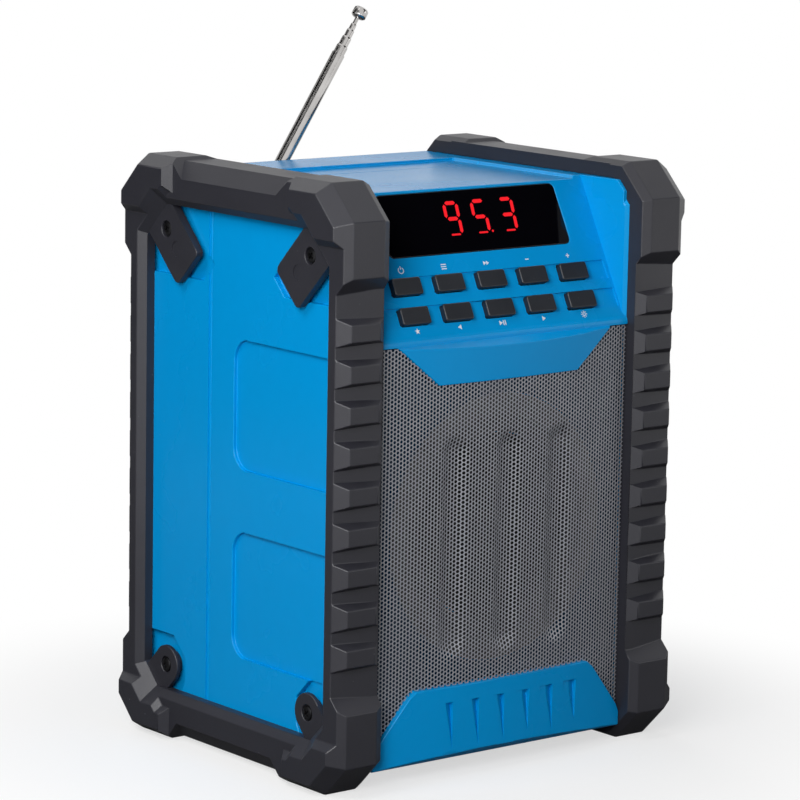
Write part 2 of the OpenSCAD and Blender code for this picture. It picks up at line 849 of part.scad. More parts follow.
module led_display() {
    color([0.6, 0.06, 0.05]) on_panel() {
        translate([-4, -window_s + 1.3, board_top]) linear_extrude(8) square([64, 18.4], center = true);
    }
}

module button_board() {
    color(board_green) on_panel() difference() {
        translate([0, -33.5, board_top - board_t]) linear_extrude(board_t) square([108, 52], center = true);
        for (p = panel_posts, way = [-1, 1]) translate([way * p[0], -p[1], -20]) cylinder(h = 20, r = 1.2);
    }
}

module tact_switches() {
    color(graphite) on_panel() for (i = [0 : 9]) button_place(i) {
        translate([0, 0, board_top]) linear_extrude(3) square([6, 6], center = true);
        translate([0, 0, board_top + 3]) cylinder(h = 1, r = 1.7);
    }
}

module button(i) {
    color(graphite) on_panel() button_place(i) {
        translate([0, 0, flange_top]) linear_extrude(button_rise - flange_top) {
            rounded(button_w, button_h, 1.1);
        }
        translate([0, 0, flange_top - 1]) linear_extrude(1) rounded(button_w + 2.4, button_h + 2, 1);
        translate([0, 0, stem_end]) cylinder(h = 2, r = 1.5);
    }
}

module power_button() button(0);
module mode_button() button(1);
module scan_button() button(2);
module volume_down_button() button(3);
module volume_up_button() button(4);
module preset_button() button(5);
module previous_button() button(6);
module play_button() button(7);
module next_button() button(8);
module dimmer_button() button(9);

// ---- Speaker, measured inwards from the front wall ----

module speaker_basket() {
    color(graphite) at_speaker() difference() {
        rotate_extrude($fn = 96) polygon([[45.4, 0], [speaker_r, 0], [speaker_r, rim_t], [47.2, rim_t],
            [30, 24], [30, 26.5], [13, 26.5], [13, 25], [28.6, 25], [28.6, 23.6], [44, 4.2],
            [45.4, 4.2]]);
        speaker_screw_places(50.8) translate([0, 0, -1]) cylinder(h = 6, r = 1.7);
        for (a = [0 : 45 : 315]) rotate(a + 22.5) translate([37, 0, 5]) cylinder(h = 14, r = 6);
    }
}

module speaker_surround() {
    color([0.05, 0.05, 0.05]) at_speaker() rotate_extrude($fn = 96) difference() {
        translate([41.7, 4.2]) circle(3.7);
        translate([41.7, 4.2]) circle(2.9);
        translate([30, 4.2]) square([20, 10]);
    }
}

module speaker_cone() {
    color([0.12, 0.12, 0.13]) at_speaker() rotate_extrude($fn = 96) {
        polygon([[cone_r, 3.4], [cone_r, 4.2], [12, 17.4], [11.2, 17.4], [11.2, 16.8]]);
    }
}

module dust_cap() {
    color([0.15, 0.15, 0.16]) at_speaker() rotate_extrude($fn = 64) intersection() {
        translate([0, 26]) difference() {
            circle(16.8);
            circle(16.2);
        }
        translate([0, 8]) square([20, 7.6]);
    }
}

module voice_coil() {
    color([0.7, 0.4, 0.2]) at_speaker() rotate_extrude() {
        translate([11.2, 17.4]) square([0.6, 12]);
    }
}

module speaker_magnet() {
    color(steel) at_speaker() rotate_extrude($fn = 72) {
        polygon([[0, 23.5], [10.4, 23.5], [10.4, 36], [12.8, 36], [12.8, 26.5], [29, 26.5], [29, 30],
            [27, 30], [27, 40], [29, 40], [29, 43.5], [0, 43.5]]);
    }
}

module speaker_screws() {
    color(steel) at_speaker() speaker_screw_places(50.8) {
        translate([0, 0, -1.2]) cylinder(h = 1.2, r = 2.8);
        cylinder(h = 5.2, r = 1.15);
    }
}

// ---- Boards and power ----

module main_board() {
    color(board_green) difference() {
        block([-48, 48.4, 112], [48, 50, 198]);
        at_board_posts() rod_y(40, 60, 1.6);
    }
}

module tuner_module() {
    color(steel) block([-34, 44.4, 160], [-12, 48.4, 182]);
}

module amplifier_heatsink() {
    color(steel) union() {
        block([8, 45.4, 128], [32, 48.4, 150]);
        for (i = [0 : 5]) block([8 + i * 4.5, 33.4, 128], [9.5 + i * 4.5, 45.4, 150]);
    }
}

module battery_pack() {
    color([0.1, 0.25, 0.55]) for (x = battery_x) {
        translate([x, battery_y, body_bottom + wall + 1]) cylinder(h = 65, r = battery_r);
    }
}

module battery_bracket() {
    low = body_bottom + wall;
    color(graphite) difference() {
        block([battery_x[0] - battery_r - 2, 38.5, low], [battery_x[1] + battery_r + 2, 58.5, low + 9]);
        for (x = battery_x) translate([x, battery_y, low + 1]) cylinder(h = 20, r = battery_r + 0.1);
    }
}

module port_sockets(gap, y0, y1) {
    translate([port_x - 17, 0, port_z]) rod_y(y0, y1, 4.4 + gap);
    translate([port_x, 0, port_z]) block([-5.2 - gap, y0, -2.4 - gap], [5.2 + gap, y1, 2.4 + gap]);
    translate([port_x + 16, 0, port_z]) rod_y(y0, y1, 3.9 + gap);
}

module port_board() {
    color(board_green) difference() {
        block([port_x - 26, 47.4, port_z - 10], [port_x + 26, 49, port_z + 10]);
        at_port_posts() rod_y(47, 50, 1.2);
    }
}

module dc_socket() {
    color(graphite) translate([port_x - 17, 0, port_z]) difference() {
        union() {
            rod_y(55, 61, 4.4);
            block([-4.6, 49, -5], [4.6, 55, 5]);
        }
        rod_y(52, 62, 2.8);
    }
    color(steel) translate([port_x - 17, 0, port_z]) rod_y(51.5, 60, 1);
}

module usb_socket() {
    color(steel) translate([port_x, 0, port_z]) difference() {
        block([-5.2, 49, -2.4], [5.2, 61, 2.4]);
        block([-4.5, 55, -1.7], [4.5, 62, 1.7]);
    }
}

module aux_socket() {
    color(graphite) translate([port_x + 16, 0, port_z]) difference() {
        union() {
            rod_y(55, 61, 3.9);
            block([-5, 49, -5], [5, 55, 5]);
        }
        rod_y(50, 62, 1.8);
    }
}

module port_cover() {
    w = port_w - 2 * cover_gap;
    top = port_z + port_h / 2 - cover_gap;
    color(graphite) translate([port_x, 0, 0]) {
        block([-w / 2, rear_y - cover_t, cover_pin_z], [w / 2, rear_y, top]);
        translate([0, cover_pin_y, cover_pin_z]) {
            rod_x(-w / 2, w / 2, cover_t / 2);
            rod_x(-w / 2 - 1.8, w / 2 + 1.8, cover_pin_r);
        }
        block([-6, rear_y - 0.5, top - 3.5], [6, rear_y + 1.4, top - 1.5]);
    }
}

// ---- Antenna ----

module on_antenna() {
    translate([antenna_x, antenna_y, antenna_z]) rotate([0, antenna_lean, 0]) children();
}

module antenna_swivel() {
    color(steel) difference() {
        union() {
            translate([antenna_x, 0, antenna_z]) {
                rod_y(antenna_seat + 0.3, swivel_face, 5.6);
                rod_y(55.6, antenna_seat + 1, 2.5);
            }
            on_antenna() for (side = [-1, 1]) {
                translate([side * 2.5, 0, 0]) rod_x(-0.9, 0.9, 2.9);
                translate([side * 2.5, -1.8, 0]) cube([1.8, 3.6, 5.4], center = true);
            }
        }
        on_antenna() rod_x(-5, 5, pin_r);
        translate([antenna_x, 0, antenna_z]) rod_y(50, 60.5, 1);
    }
}

module antenna_retainer() {
    color(steel) translate([antenna_x, 0, antenna_z]) {
        rod_y(54.6, 55.6, 4.6);
        rod_y(53, 54.6, 2.4);
        rod_y(54.6, 60, 1);
    }
}

module knuckle_pin() {
    color(steel) on_antenna() {
        rod_x(-3.4, 3.4, pin_r);
        rod_x(-3.9, -3.4, 1.6);
        rod_x(3.4, 3.9, 1.6);
    }
}

module antenna_tube(i) {
    color(steel) on_antenna() difference() {
        translate([0, 0, tube_start[i]]) cylinder(h = tube_end[i] - tube_start[i], r = tube_r[i]);
        translate([0, 0, tube_start[i] + (i == 0 ? 6 : -1)]) cylinder(h = 120, r = tube_bore[i]);
    }
}

module antenna_tube_1() {
    color(steel) difference() {
        union() {
            antenna_tube(0);
            on_antenna() {
                rod_x(-1.5, 1.5, 2.6);
                translate([0, 0, 2.5]) cube([3, 4.4, 5], center = true);
            }
        }
        on_antenna() rod_x(-5, 5, pin_r + 0.05);
    }
}

module antenna_tube_2() antenna_tube(1);
module antenna_tube_3() antenna_tube(2);
module antenna_tube_4() antenna_tube(3);
module antenna_tube_5() antenna_tube(4);

module antenna_rod() {
    color(steel) on_antenna() translate([0, 0, tube_start[5]]) {
        cylinder(h = tube_end[5] - tube_start[5] + 2, r = tube_r[5]);
    }
}

module antenna_knob() {
    color(steel) on_antenna() translate([0, 0, tube_end[5]]) difference() {
        cylinder(h = 4.6, r = 3.3);
        translate([0, 0, -1]) cylinder(h = 3, r = tube_r[5]);
    }
}

// ---- Screws ----

module frame_screws() {
    color(graphite) for (way = [0, 1]) mirror([way, 0, 0]) mirrored_y() {
        translate([0, lug_screw[0], lug_screw[1]]) {
            rod_x(body_x + lug_t - 1.8, body_x + lug_t - 0.2, 2.9);
            rod_x(body_x - 10, body_x + lug_t - 1.8, 1.25);
        }
        translate([0, ear_screw[0], ear_screw[1]]) {
            rod_x(body_x + ear_t - 1.2, body_x + ear_t - 0.1, 2.9);
            rod_x(body_x - 10, body_x + ear_t - 1.2, 1.25);
        }
    }
}

module shell_screws() {
    color(graphite) at_shell_posts() {
        rod_y(34, 36.4, 3);
        rod_y(9, 34, 1.4);
    }
}

module board_screws() {
    color(steel) {
        at_board_posts() {
            rod_y(46.8, 48.4, 2.6);
            rod_y(48.4, 57, 1.2);
        }
        at_port_posts() {
            rod_y(46.2, 47.4, 2);
            rod_y(47.4, 56, 0.9);
        }
        at_panel_posts() translate([0, 0, board_top - board_t]) {
            translate([0, 0, -1.2]) cylinder(h = 1.2, r = 2);
            cylinder(h = 6, r = 0.9);
        }
    }
}

front_shell();
rear_shell();
shell_seal();
left_frame();
right_frame();
grille();
display_window();
led_display();
button_board();
tact_switches();
power_button();
mode_button();
scan_button();
volume_down_button();
volume_up_button();
preset_button();
previous_button();
play_button();
next_button();
dimmer_button();
speaker_basket();
speaker_surround();
speaker_cone();
dust_cap();
voice_coil();
speaker_magnet();
speaker_screws();
main_board();
tuner_module();
amplifier_heatsink();
battery_pack();
battery_bracket();
port_board();
dc_socket();
usb_socket();
aux_socket();
port_cover();
antenna_swivel();
antenna_retainer();
knuckle_pin();
antenna_tube_1();
antenna_tube_2();
antenna_tube_3();
antenna_tube_4();
antenna_tube_5();
antenna_rod();
antenna_knob();
frame_screws();
shell_screws();
board_screws();
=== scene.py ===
import bpy
import bmesh
import math
from mathutils import Matrix, Vector
from mathutils.bvhtree import BVHTree


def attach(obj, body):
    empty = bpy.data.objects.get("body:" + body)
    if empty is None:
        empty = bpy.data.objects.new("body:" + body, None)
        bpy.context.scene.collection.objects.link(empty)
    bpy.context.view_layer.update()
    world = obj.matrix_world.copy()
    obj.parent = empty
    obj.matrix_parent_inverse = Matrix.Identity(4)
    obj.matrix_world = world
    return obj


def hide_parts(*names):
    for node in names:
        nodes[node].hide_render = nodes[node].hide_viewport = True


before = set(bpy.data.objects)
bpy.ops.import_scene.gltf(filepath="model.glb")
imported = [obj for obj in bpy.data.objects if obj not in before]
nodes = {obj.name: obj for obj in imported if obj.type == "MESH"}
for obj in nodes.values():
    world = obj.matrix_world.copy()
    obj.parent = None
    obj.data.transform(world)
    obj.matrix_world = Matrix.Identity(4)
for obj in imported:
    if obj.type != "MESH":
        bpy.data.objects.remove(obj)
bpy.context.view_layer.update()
mm = 0.001
print("frame loaded:", len(nodes), "nodes")

mixA, mixB, mixed = 6, 7, 2  # colour sockets of a Mix node
fromLow, fromHigh, toLow, toHigh = 1, 2, 3, 4  # sockets of a Map Range node


def linear(hexColour):
    parts = [int(hexColour[i:i + 2], 16) / 255 for i in (1, 3, 5)]
    return [p / 12.92 if p <= 0.04045 else ((p + 0.055) / 1.055) ** 2.4 for p in parts] + [1.0]


def perMetre(sizeMm):
    return 1000.0 / sizeMm  # texture scale for a pattern that repeats every sizeMm


def addNode(tree, kind, settings=None, links=None):
    node = tree.nodes.new("ShaderNode" + kind)
    for key, value in (settings or {}).items():
        if isinstance(key, int) or key in node.inputs:
            node.inputs[key].default_value = value
        else:
            setattr(node, key, value)
    for key, socket in (links or {}).items():
        tree.links.new(socket, node.inputs[key])
    return node


def newMaterial(name):
    material = bpy.data.materials.new(name)
    material.use_nodes = True
    tree = material.node_tree
    tree.nodes.clear()
    place = addNode(tree, "TexCoord").outputs["Object"]
    output = addNode(tree, "OutputMaterial")
    return material, tree, place, output


def finishMaterial(tree, output, shader):
    tree.links.new(shader, output.inputs["Surface"])


def paintShadeWithin(tree, place, colour, shade, box):
    # painted shade: a deep colour laid inside a box given by its lowest and highest corners in mm,
    # standing in for the shade that falls there
    axes = addNode(tree, "SeparateXYZ", None, {0: place})
    inside = None
    for axis, low, high in zip((0, 1, 2), *box):
        middle, reach = (low + high) / 2 * mm, (high - low) / 2 * mm
        near = addNode(tree, "Math", {"operation": "COMPARE", 1: middle, 2: reach},
                       {0: axes.outputs[axis]})
        if inside is None:
            inside = near
        else:
            inside = addNode(tree, "Math", {"operation": "MULTIPLY"},
                             {0: inside.outputs[0], 1: near.outputs[0]})
    return addNode(tree, "Mix", {"data_type": "RGBA", mixB: linear(shade)},
                   {0: inside.outputs[0], mixA: colour.outputs[mixed]})


# what all mouldings share: scuffed patches, edge of a speck of dust, depth of grain and waves
skin = {
    "patchMm": 35, "dustyFrom": 0.5, "dustyTo": 0.62, "roughFrom": 0.2, "roughTo": 0.8,
    "speckOuter": 0.06, "speckInner": 0.02, "grainDepth": 0.25, "waveDepthMm": 0.12,
    "coatRoughness": 0.12,
}


def moulded(name, look):
    # moulded plastic or rubber: a soft mottle in the colour, fine grain from the tool, faint scuffs
    material, tree, place, output = newMaterial(name)
    here = {"Vector": place}
    mottle = addNode(tree, "TexNoise", {"Scale": perMetre(look["mottleMm"]), "Detail": 4.0,
                                        "Roughness": 0.6}, here)
    base = addNode(tree, "Mix", {"data_type": "RGBA", mixA: linear(look["colour"]),
                                 mixB: linear(look["second"])}, {0: mottle.outputs["Fac"]})
    dust = addNode(tree, "TexVoronoi", {"Scale": perMetre(look["dustMm"]), "Randomness": 1.0}, here)
    patches = addNode(tree, "TexNoise", {"Scale": perMetre(skin["patchMm"]), "Detail": 3.0}, here)
    speck = addNode(tree, "MapRange", {fromLow: skin["speckOuter"], fromHigh: skin["speckInner"],
                                       toLow: 0.0, toHigh: 1.0}, {0: dust.outputs["Distance"]})
    dusty = addNode(tree, "MapRange", {fromLow: skin["dustyFrom"], fromHigh: skin["dustyTo"],
                                       toLow: 0.0, toHigh: look["dust"]},
                    {0: patches.outputs["Fac"]})
    specks = addNode(tree, "Math", {"operation": "MULTIPLY"},
                     {0: speck.outputs[0], 1: dusty.outputs[0]})
    colour = addNode(tree, "Mix", {"data_type": "RGBA", mixB: linear(look["dustColour"])},
                     {0: specks.outputs[0], mixA: base.outputs[mixed]})
    # painted shade: inside the box behind the perforated front the blue turns deep navy
    if "deepBox" in look:
        colour = paintShadeWithin(tree, place, colour, look["deepColour"], look["deepBox"])
    grain = addNode(tree, "TexNoise", {"Scale": perMetre(look["grainMm"]), "Detail": 2.0,
                                       "Roughness": 0.55}, here)
    wave = addNode(tree, "TexNoise", {"Scale": perMetre(look["waveMm"]), "Detail": 1.0}, here)
    fine = addNode(tree, "Bump", {"Strength": look["grain"],
                                  "Distance": look["grainMm"] * skin["grainDepth"] * mm},
                   {"Height": grain.outputs["Fac"]})
    bump = addNode(tree, "Bump", {"Strength": look["wave"], "Distance": skin["waveDepthMm"] * mm},
                   {"Height": wave.outputs["Fac"], "Normal": fine.outputs[0]})
    rough = addNode(tree, "MapRange", {fromLow: skin["roughFrom"], fromHigh: skin["roughTo"],
                                       toLow: look["roughness"] - look["spread"],
                                       toHigh: look["roughness"] + look["spread"],
                                       "interpolation_type": "SMOOTHSTEP"},
                    {0: patches.outputs["Fac"]})
    shader = addNode(tree, "BsdfPrincipled", {"IOR": look["ior"], "Coat Weight": look["coat"],
                                              "Specular IOR Level": look["specular"],
                                              "Coat Roughness": skin["coatRoughness"]},
                     {"Base Color": colour.outputs[mixed], "Roughness": rough.outputs[0],
                      "Normal": bump.outputs[0]})
    finishMaterial(tree, output, shader.outputs[0])
    return material


# what all metals share: worn patches and how far they spread the roughness, depth of the lines
plate = {"patchMm": 9, "roughFrom": 0.3, "roughTo": 0.7, "smoother": 0.75, "rougher": 1.3,
         "lineDepthMm": 0.02}


def metal(name, look):
    # plated, bare or painted metal: fine drawn lines or orange peel under the gloss
    material, tree, place, output = newMaterial(name)
    stretch = addNode(tree, "Mapping", {"Scale": look["stretch"]}, {"Vector": place})
    lines = addNode(tree, "TexNoise", {"Scale": perMetre(look["lineMm"]), "Detail": 3.0},
                    {"Vector": stretch.outputs[0]})
    patches = addNode(tree, "TexNoise", {"Scale": perMetre(plate["patchMm"]), "Detail": 4.0},
                      {"Vector": place})
    colour = addNode(tree, "Mix", {"data_type": "RGBA", mixA: linear(look["colour"]),
                                   mixB: linear(look["second"])}, {0: patches.outputs["Fac"]})
    rough = addNode(tree, "MapRange", {fromLow: plate["roughFrom"], fromHigh: plate["roughTo"],
                                       toLow: look["roughness"] * plate["smoother"],
                                       toHigh: look["roughness"] * plate["rougher"]},
                    {0: patches.outputs["Fac"]})
    bump = addNode(tree, "Bump", {"Strength": look["bump"], "Distance": plate["lineDepthMm"] * mm},
                   {"Height": lines.outputs["Fac"]})
    shader = addNode(tree, "BsdfPrincipled", {"Metallic": look["metallic"]},
                     {"Base Color": colour.outputs[mixed], "Roughness": rough.outputs[0],
                      "Normal": bump.outputs[0]})
    finishMaterial(tree, output, shader.outputs[0])
    return material


def litSegments(name, look):
    # lit segments: an even red glow with a faint cloud in it
    material, tree, place, output = newMaterial(name)
    cloud = addNode(tree, "TexNoise", {"Scale": perMetre(look["cloudMm"]), "Detail": 2.0},
                    {"Vector": place})
    colour = addNode(tree, "Mix", {"data_type": "RGBA", mixA: linear(look["colour"]),
                                   mixB: linear(look["second"])}, {0: cloud.outputs["Fac"]})
    shader = addNode(tree, "BsdfPrincipled", {"Base Color": linear(look["unlit"]),
                                              "Roughness": 0.3, "Emission Strength": 1.0},
                     {"Emission Color": colour.outputs[mixed]})
    finishMaterial(tree, output, shader.outputs[0])
    return material


usualMoulding = {"ior": 1.5, "specular": 0.5, "coat": 0.0}
mouldings = {
    # ABS housing: clear strong blue with a satin gloss, edges catch a thin light line;
    # the baffle behind the perforated front gets a painted shade of deep navy in place of the shade
    # the sheet casts there
    "blueAbs": {
        "colour": "#0094D8", "second": "#0090D3", "mottleMm": 6, "grainMm": 0.5, "grain": 0.10,
        "waveMm": 18, "wave": 0.04, "roughness": 0.26, "spread": 0.03, "specular": 0.2,
        "dust": 0.3, "dustMm": 7, "dustColour": "#6FB6E6", "deepColour": "#08253A",
        "deepBox": ((-64.8, -66.5, 13.6), (64.8, -63.2, 174.2))},
    # glass-filled plastic frames: charcoal, eroded grain that scatters the light, a few dust specks
    "charcoalFrame": {
        "colour": "#28282F", "second": "#25252B", "mottleMm": 5, "grainMm": 0.45, "grain": 0.4,
        "waveMm": 12, "wave": 0.10, "roughness": 0.44, "spread": 0.05,
        "dust": 0.6, "dustMm": 5, "dustColour": "#8A8A90"},
    # black moulded rubber: dull, almost no gloss
    "blackRubber": {
        "colour": "#1D1D1F", "second": "#262628", "mottleMm": 8, "grainMm": 0.35, "grain": 0.4,
        "waveMm": 9, "wave": 0.1, "roughness": 0.72, "spread": 0.06, "specular": 0.35,
        "dust": 0.4, "dustMm": 4, "dustColour": "#77777A"},
    # button caps: soft black plastic with a fine matt skin
    "buttonAbs": {
        "colour": "#12151B", "second": "#161920", "mottleMm": 5, "grainMm": 0.25, "grain": 0.3,
        "waveMm": 6, "wave": 0.08, "roughness": 0.40, "spread": 0.05,
        "dust": 0.5, "dustMm": 3, "dustColour": "#8C8C90"},
    # polished smoked window: deep black mirror
    "smokedWindow": {
        "colour": "#040407", "second": "#060509", "mottleMm": 30, "grainMm": 0.6, "grain": 0.01,
        "waveMm": 40, "wave": 0.02, "roughness": 0.06, "spread": 0.02, "ior": 1.49,
        "specular": 0.4, "dust": 0.35, "dustMm": 6, "dustColour": "#55555A"},
    # switch bodies, sockets and holders: plain black moulding
    "blackMoulding": {
        "colour": "#17171A", "second": "#1E1E21", "mottleMm": 4, "grainMm": 0.3, "grain": 0.2,
        "waveMm": 6, "wave": 0.05, "roughness": 0.5, "spread": 0.05,
        "dust": 0.1, "dustMm": 4, "dustColour": "#606064"},
    # circuit board laminate under green lacquer
    "boardLacquer": {
        "colour": "#0F5B32", "second": "#156B3C", "mottleMm": 3, "grainMm": 0.5, "grain": 0.15,
        "waveMm": 4, "wave": 0.05, "roughness": 0.35, "spread": 0.05, "coat": 0.3,
        "dust": 0.1, "dustMm": 5, "dustColour": "#A8C8B0"},
    # pressed paper cone: matt black with felt fibres
    "conePaper": {
        "colour": "#1A1A1B", "second": "#262626", "mottleMm": 1.2, "grainMm": 0.6, "grain": 0.8,
        "waveMm": 5, "wave": 0.2, "roughness": 0.9, "spread": 0.05, "ior": 1.4,
        "specular": 0.2, "dust": 0.2, "dustMm": 4, "dustColour": "#606060"},
    # shrink sleeve on the cells: blue film, smooth and a little wrinkled
    "cellSleeve": {
        "colour": "#1B3F8C", "second": "#1F479A", "mottleMm": 9, "grainMm": 0.6, "grain": 0.05,
        "waveMm": 7, "wave": 0.3, "roughness": 0.25, "spread": 0.05, "coat": 0.2,
        "dust": 0.1, "dustMm": 5, "dustColour": "#8899BB"},
    # printed white marks: flat ink, a little uneven
    "whiteInk": {
        "colour": "#E8ECF0", "second": "#D6DCE2", "mottleMm": 0.8, "grainMm": 0.2, "grain": 0.2,
        "waveMm": 4, "wave": 0.02, "roughness": 0.6, "spread": 0.05, "specular": 0.4,
        "dust": 0.0, "dustMm": 4, "dustColour": "#FFFFFF"},
}
usualMetal = {"stretch": (1.0, 1.0, 1.0)}
metals = {
    # painted perforated steel: mid grey enamel with a faint sparkle of orange peel
    "greySteel": {"colour": "#A2A4AB", "second": "#94969D", "metallic": 0.3, "roughness": 0.42,
                  "lineMm": 0.3, "bump": 0.3},
    # polished chrome plate on the antenna: a mirror that is slightly pitted and mottled by wear
    "chromePlate": {"colour": "#D6D4D2", "second": "#A3A09E", "metallic": 1.0, "roughness": 0.14,
                    "lineMm": 0.5, "bump": 0.3},
    # black oxide screws: dark metal with a dry sheen
    "blackOxide": {"colour": "#2A2A2C", "second": "#3A3A3D", "metallic": 0.9, "roughness": 0.35,
                   "lineMm": 0.3, "bump": 0.5},
    # zinc plated pressings and screws: pale grey with a soft shine
    "zincPlate": {"colour": "#B5B7B8", "second": "#A5A7A9", "metallic": 1.0, "roughness": 0.32,
                  "lineMm": 0.8, "bump": 0.3},
    # extruded aluminium heatsink with die lines
    "rawAluminium": {"colour": "#C2C3C6", "second": "#B2B3B6", "metallic": 1.0,
                     "roughness": 0.38, "lineMm": 0.4, "stretch": (1.0, 1.0, 0.05), "bump": 0.4},
    # dark ferrite magnet, as dull as fired clay
    "ferrite": {"colour": "#3A3A3C", "second": "#2C2C2E", "metallic": 0.2, "roughness": 0.6,
                "lineMm": 0.6, "bump": 0.6},
    # black painted speaker basket, half matt
    "basketPaint": {"colour": "#1C1C1E", "second": "#252528", "metallic": 0.0, "roughness": 0.45,
                    "lineMm": 0.5, "bump": 0.4},
    # varnished copper winding: fine turns round the coil
    "copperWire": {"colour": "#B4703C", "second": "#A66234", "metallic": 1.0, "roughness": 0.3,
                   "lineMm": 0.3, "stretch": (0.05, 1.0, 0.05), "bump": 0.8},
}
glow = {"colour": "#FF1A26", "second": "#F5141F", "unlit": "#2A0306", "cloudMm": 1.5}

finishes = {name: moulded(name, {**usualMoulding, **look}) for name, look in mouldings.items()}
finishes.update({name: metal(name, {**usualMetal, **look}) for name, look in metals.items()})
finishes["litRed"] = litSegments("litRed", glow)
print("materials made:", len(finishes))


def meshFrom(shape, name):
    mesh = bpy.data.meshes.new(name)
    shape.to_mesh(mesh)
    shape.free()
    return mesh


def addObject(name, data):
    thing = bpy.data.objects.new(name, data)
    bpy.context.scene.collection.objects.link(thing)
    return thing


def pieceName(node):
    first, *others = node.split("_")
    return first + "".join(word.capitalize() for word in others)


def addPiece(shape, name, body, finish, replaced=(), angle=32):
    mesh = meshFrom(shape, name)
    turned = mesh.attributes.get("turned")
    if turned:
        directions = [item.vector.copy() for item in turned.data]
        mesh.attributes.remove(turned)
        mesh.normals_split_custom_set(directions)
    else:
        mesh.shade_smooth()
        mesh.set_sharp_from_angle(angle=math.radians(angle))
    mesh.materials.append(finishes[finish])
    piece = addObject(name, mesh)
    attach(piece, body)
    if replaced:
        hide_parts(*replaced)
    return piece


curveLimit, cornerLimit = math.radians(25), math.radians(60)


def turnNormals(shape, rounded):
    # flat faces keep their direction and curved ones blend, so only rounded edges bend the light
    shape.normal_update()
    bend = shape.faces.layers.int["bend"]
    turned = shape.loops.layers.float_vector.new("turned")

    def blend(faces, aim, limit):
        near = [f.normal * f.calc_area() for f in faces if f.normal.angle(aim, math.pi) < limit]
        return sum(near, Vector()).normalized() if near else aim

    def faceSide(face, vert):
        if not face[bend]:
            return face.normal
        curved = [f for f in vert.link_faces if f not in rounded and f[bend]]
        return blend(curved, face.normal, curveLimit)

    for face in shape.faces:
        for loop in face.loops:
            if face not in rounded:
                loop[turned] = faceSide(face, loop.vert)
                continue
            beside = [f for e in (loop.edge, loop.link_loop_prev.edge) for f in e.link_faces
                      if f not in rounded and f.normal.angle(face.normal, math.pi) < cornerLimit]
            if beside:
                loop[turned] = sum((faceSide(f, loop.vert) for f in beside), Vector()).normalized()
            else:
                around = [f for f in loop.vert.link_faces if f in rounded]
                loop[turned] = blend(around, face.normal, cornerLimit)


# a rounding that leaves the surface by strayShare of its size, or turns a face over, is undone
# on the edges within reach of that spot, and each try reaches further
rounding = {
    "mergeMm": 0.003, "flatDegrees": 0.6, "curvedFrom": 0.01, "strayShare": 0.55,
    "smallestFace": 1e-9, "leastAgreement": 0.25, "reaches": (2.2, 2.2, 3.2, 4.5, 6, 8, 10, 12),
}


def distanceToEdge(spot, a, b):
    share = (spot - a).dot(b - a) / max((b - a).length_squared, 1e-12)
    return (a + (b - a) * min(max(share, 0), 1) - spot).length


def softCopy(node, roundingMm, segments=2, crease=14, careful=False):
    # the solid's own shape with its sharp edges rounded; crowded edges stay crisp
    whole = bmesh.new()
    whole.from_mesh(nodes[node].data)
    bmesh.ops.remove_doubles(whole, verts=whole.verts, dist=rounding["mergeMm"] * mm)
    bmesh.ops.dissolve_limit(whole, angle_limit=math.radians(rounding["flatDegrees"]),
                             verts=whole.verts, edges=whole.edges)
    bend = whole.faces.layers.int.new("bend")
    for face in whole.faces:
        face.smooth = True
        face[bend] = any(rounding["curvedFrom"] < e.calc_face_angle(0) < math.radians(crease)
                         for e in face.edges)
    surface = BVHTree.FromBMesh(whole)
    crowded = set()
    for reach in rounding["reaches"]:
        shape = whole.copy()
        creased = [e for e in shape.edges if len(e.link_faces) == 2 and e.index not in crowded
                   and e.calc_face_angle(0) > math.radians(crease)]
        ends = [(e.index, e.verts[0].co.copy(), e.verts[1].co.copy()) for e in creased]
        made = bmesh.ops.bevel(shape, geom=creased, offset=roundingMm * mm,
                               offset_type="OFFSET", segments=segments, profile=0.5,
                               affect="EDGES", clamp_overlap=False, material=-1)
        furthest = rounding["strayShare"] * roundingMm * mm
        stray = [v.co for v in shape.verts if surface.find_nearest(v.co)[3] > furthest]
        check = shape.copy()
        bmesh.ops.triangulate(check, faces=check.faces)
        for face in check.faces if careful else ():
            middle = face.calc_center_median()
            agreement = face.normal.dot(surface.find_nearest(middle)[1])
            turnedOver = agreement < rounding["leastAgreement"]
            if face.calc_area() > rounding["smallestFace"] and turnedOver:
                stray.append(middle)
        check.free()
        if not stray:
            break
        for spot in stray:
            crowded.update(index for index, a, b in ends
                           if distanceToEdge(spot, a, b) < reach * roundingMm * mm)
    whole.free()
    turnNormals(shape, set(made["faces"]))
    return shape


def dressSolid(node, body, finish, look):
    addPiece(softCopy(node, **look), pieceName(node), body, finish, [node])


def lathe(profile, steps=32):
    # profile: radius and height in mm, turned about Z
    shape = bmesh.new()
    points = [shape.verts.new((r * mm, 0, z * mm)) for r, z in profile]
    edges = [shape.edges.new(pair) for pair in zip(points, points[1:])]
    bmesh.ops.spin(shape, geom=points + edges, cent=(0, 0, 0), axis=(0, 0, 1), angle=math.tau,
                   steps=steps, use_merge=True)
    bmesh.ops.remove_doubles(shape, verts=shape.verts, dist=0.001 * mm)
    bmesh.ops.recalc_face_normals(shape, faces=shape.faces)
    return shape


def moveShape(shape, matrix):
    bmesh.ops.transform(shape, matrix=matrix, verts=shape.verts)


def joinShapes(shapes):
    whole = bmesh.new()
    for shape in shapes:
        mesh = meshFrom(shape, "part")
        whole.from_mesh(mesh)
        bpy.data.meshes.remove(mesh)
    return whole


# camera: target and distance in mm, angles in degrees, lens and sensor in mm, clip in metres
view = {"target": (0.73, 0.58, 139.37), "azimuth": -38.74, "elevation": 9.81, "roll": 1.04,
        "distance": 1513.0, "lens": 165.79, "sensor": 36, "clipStart": 0.05, "clipEnd": 60}


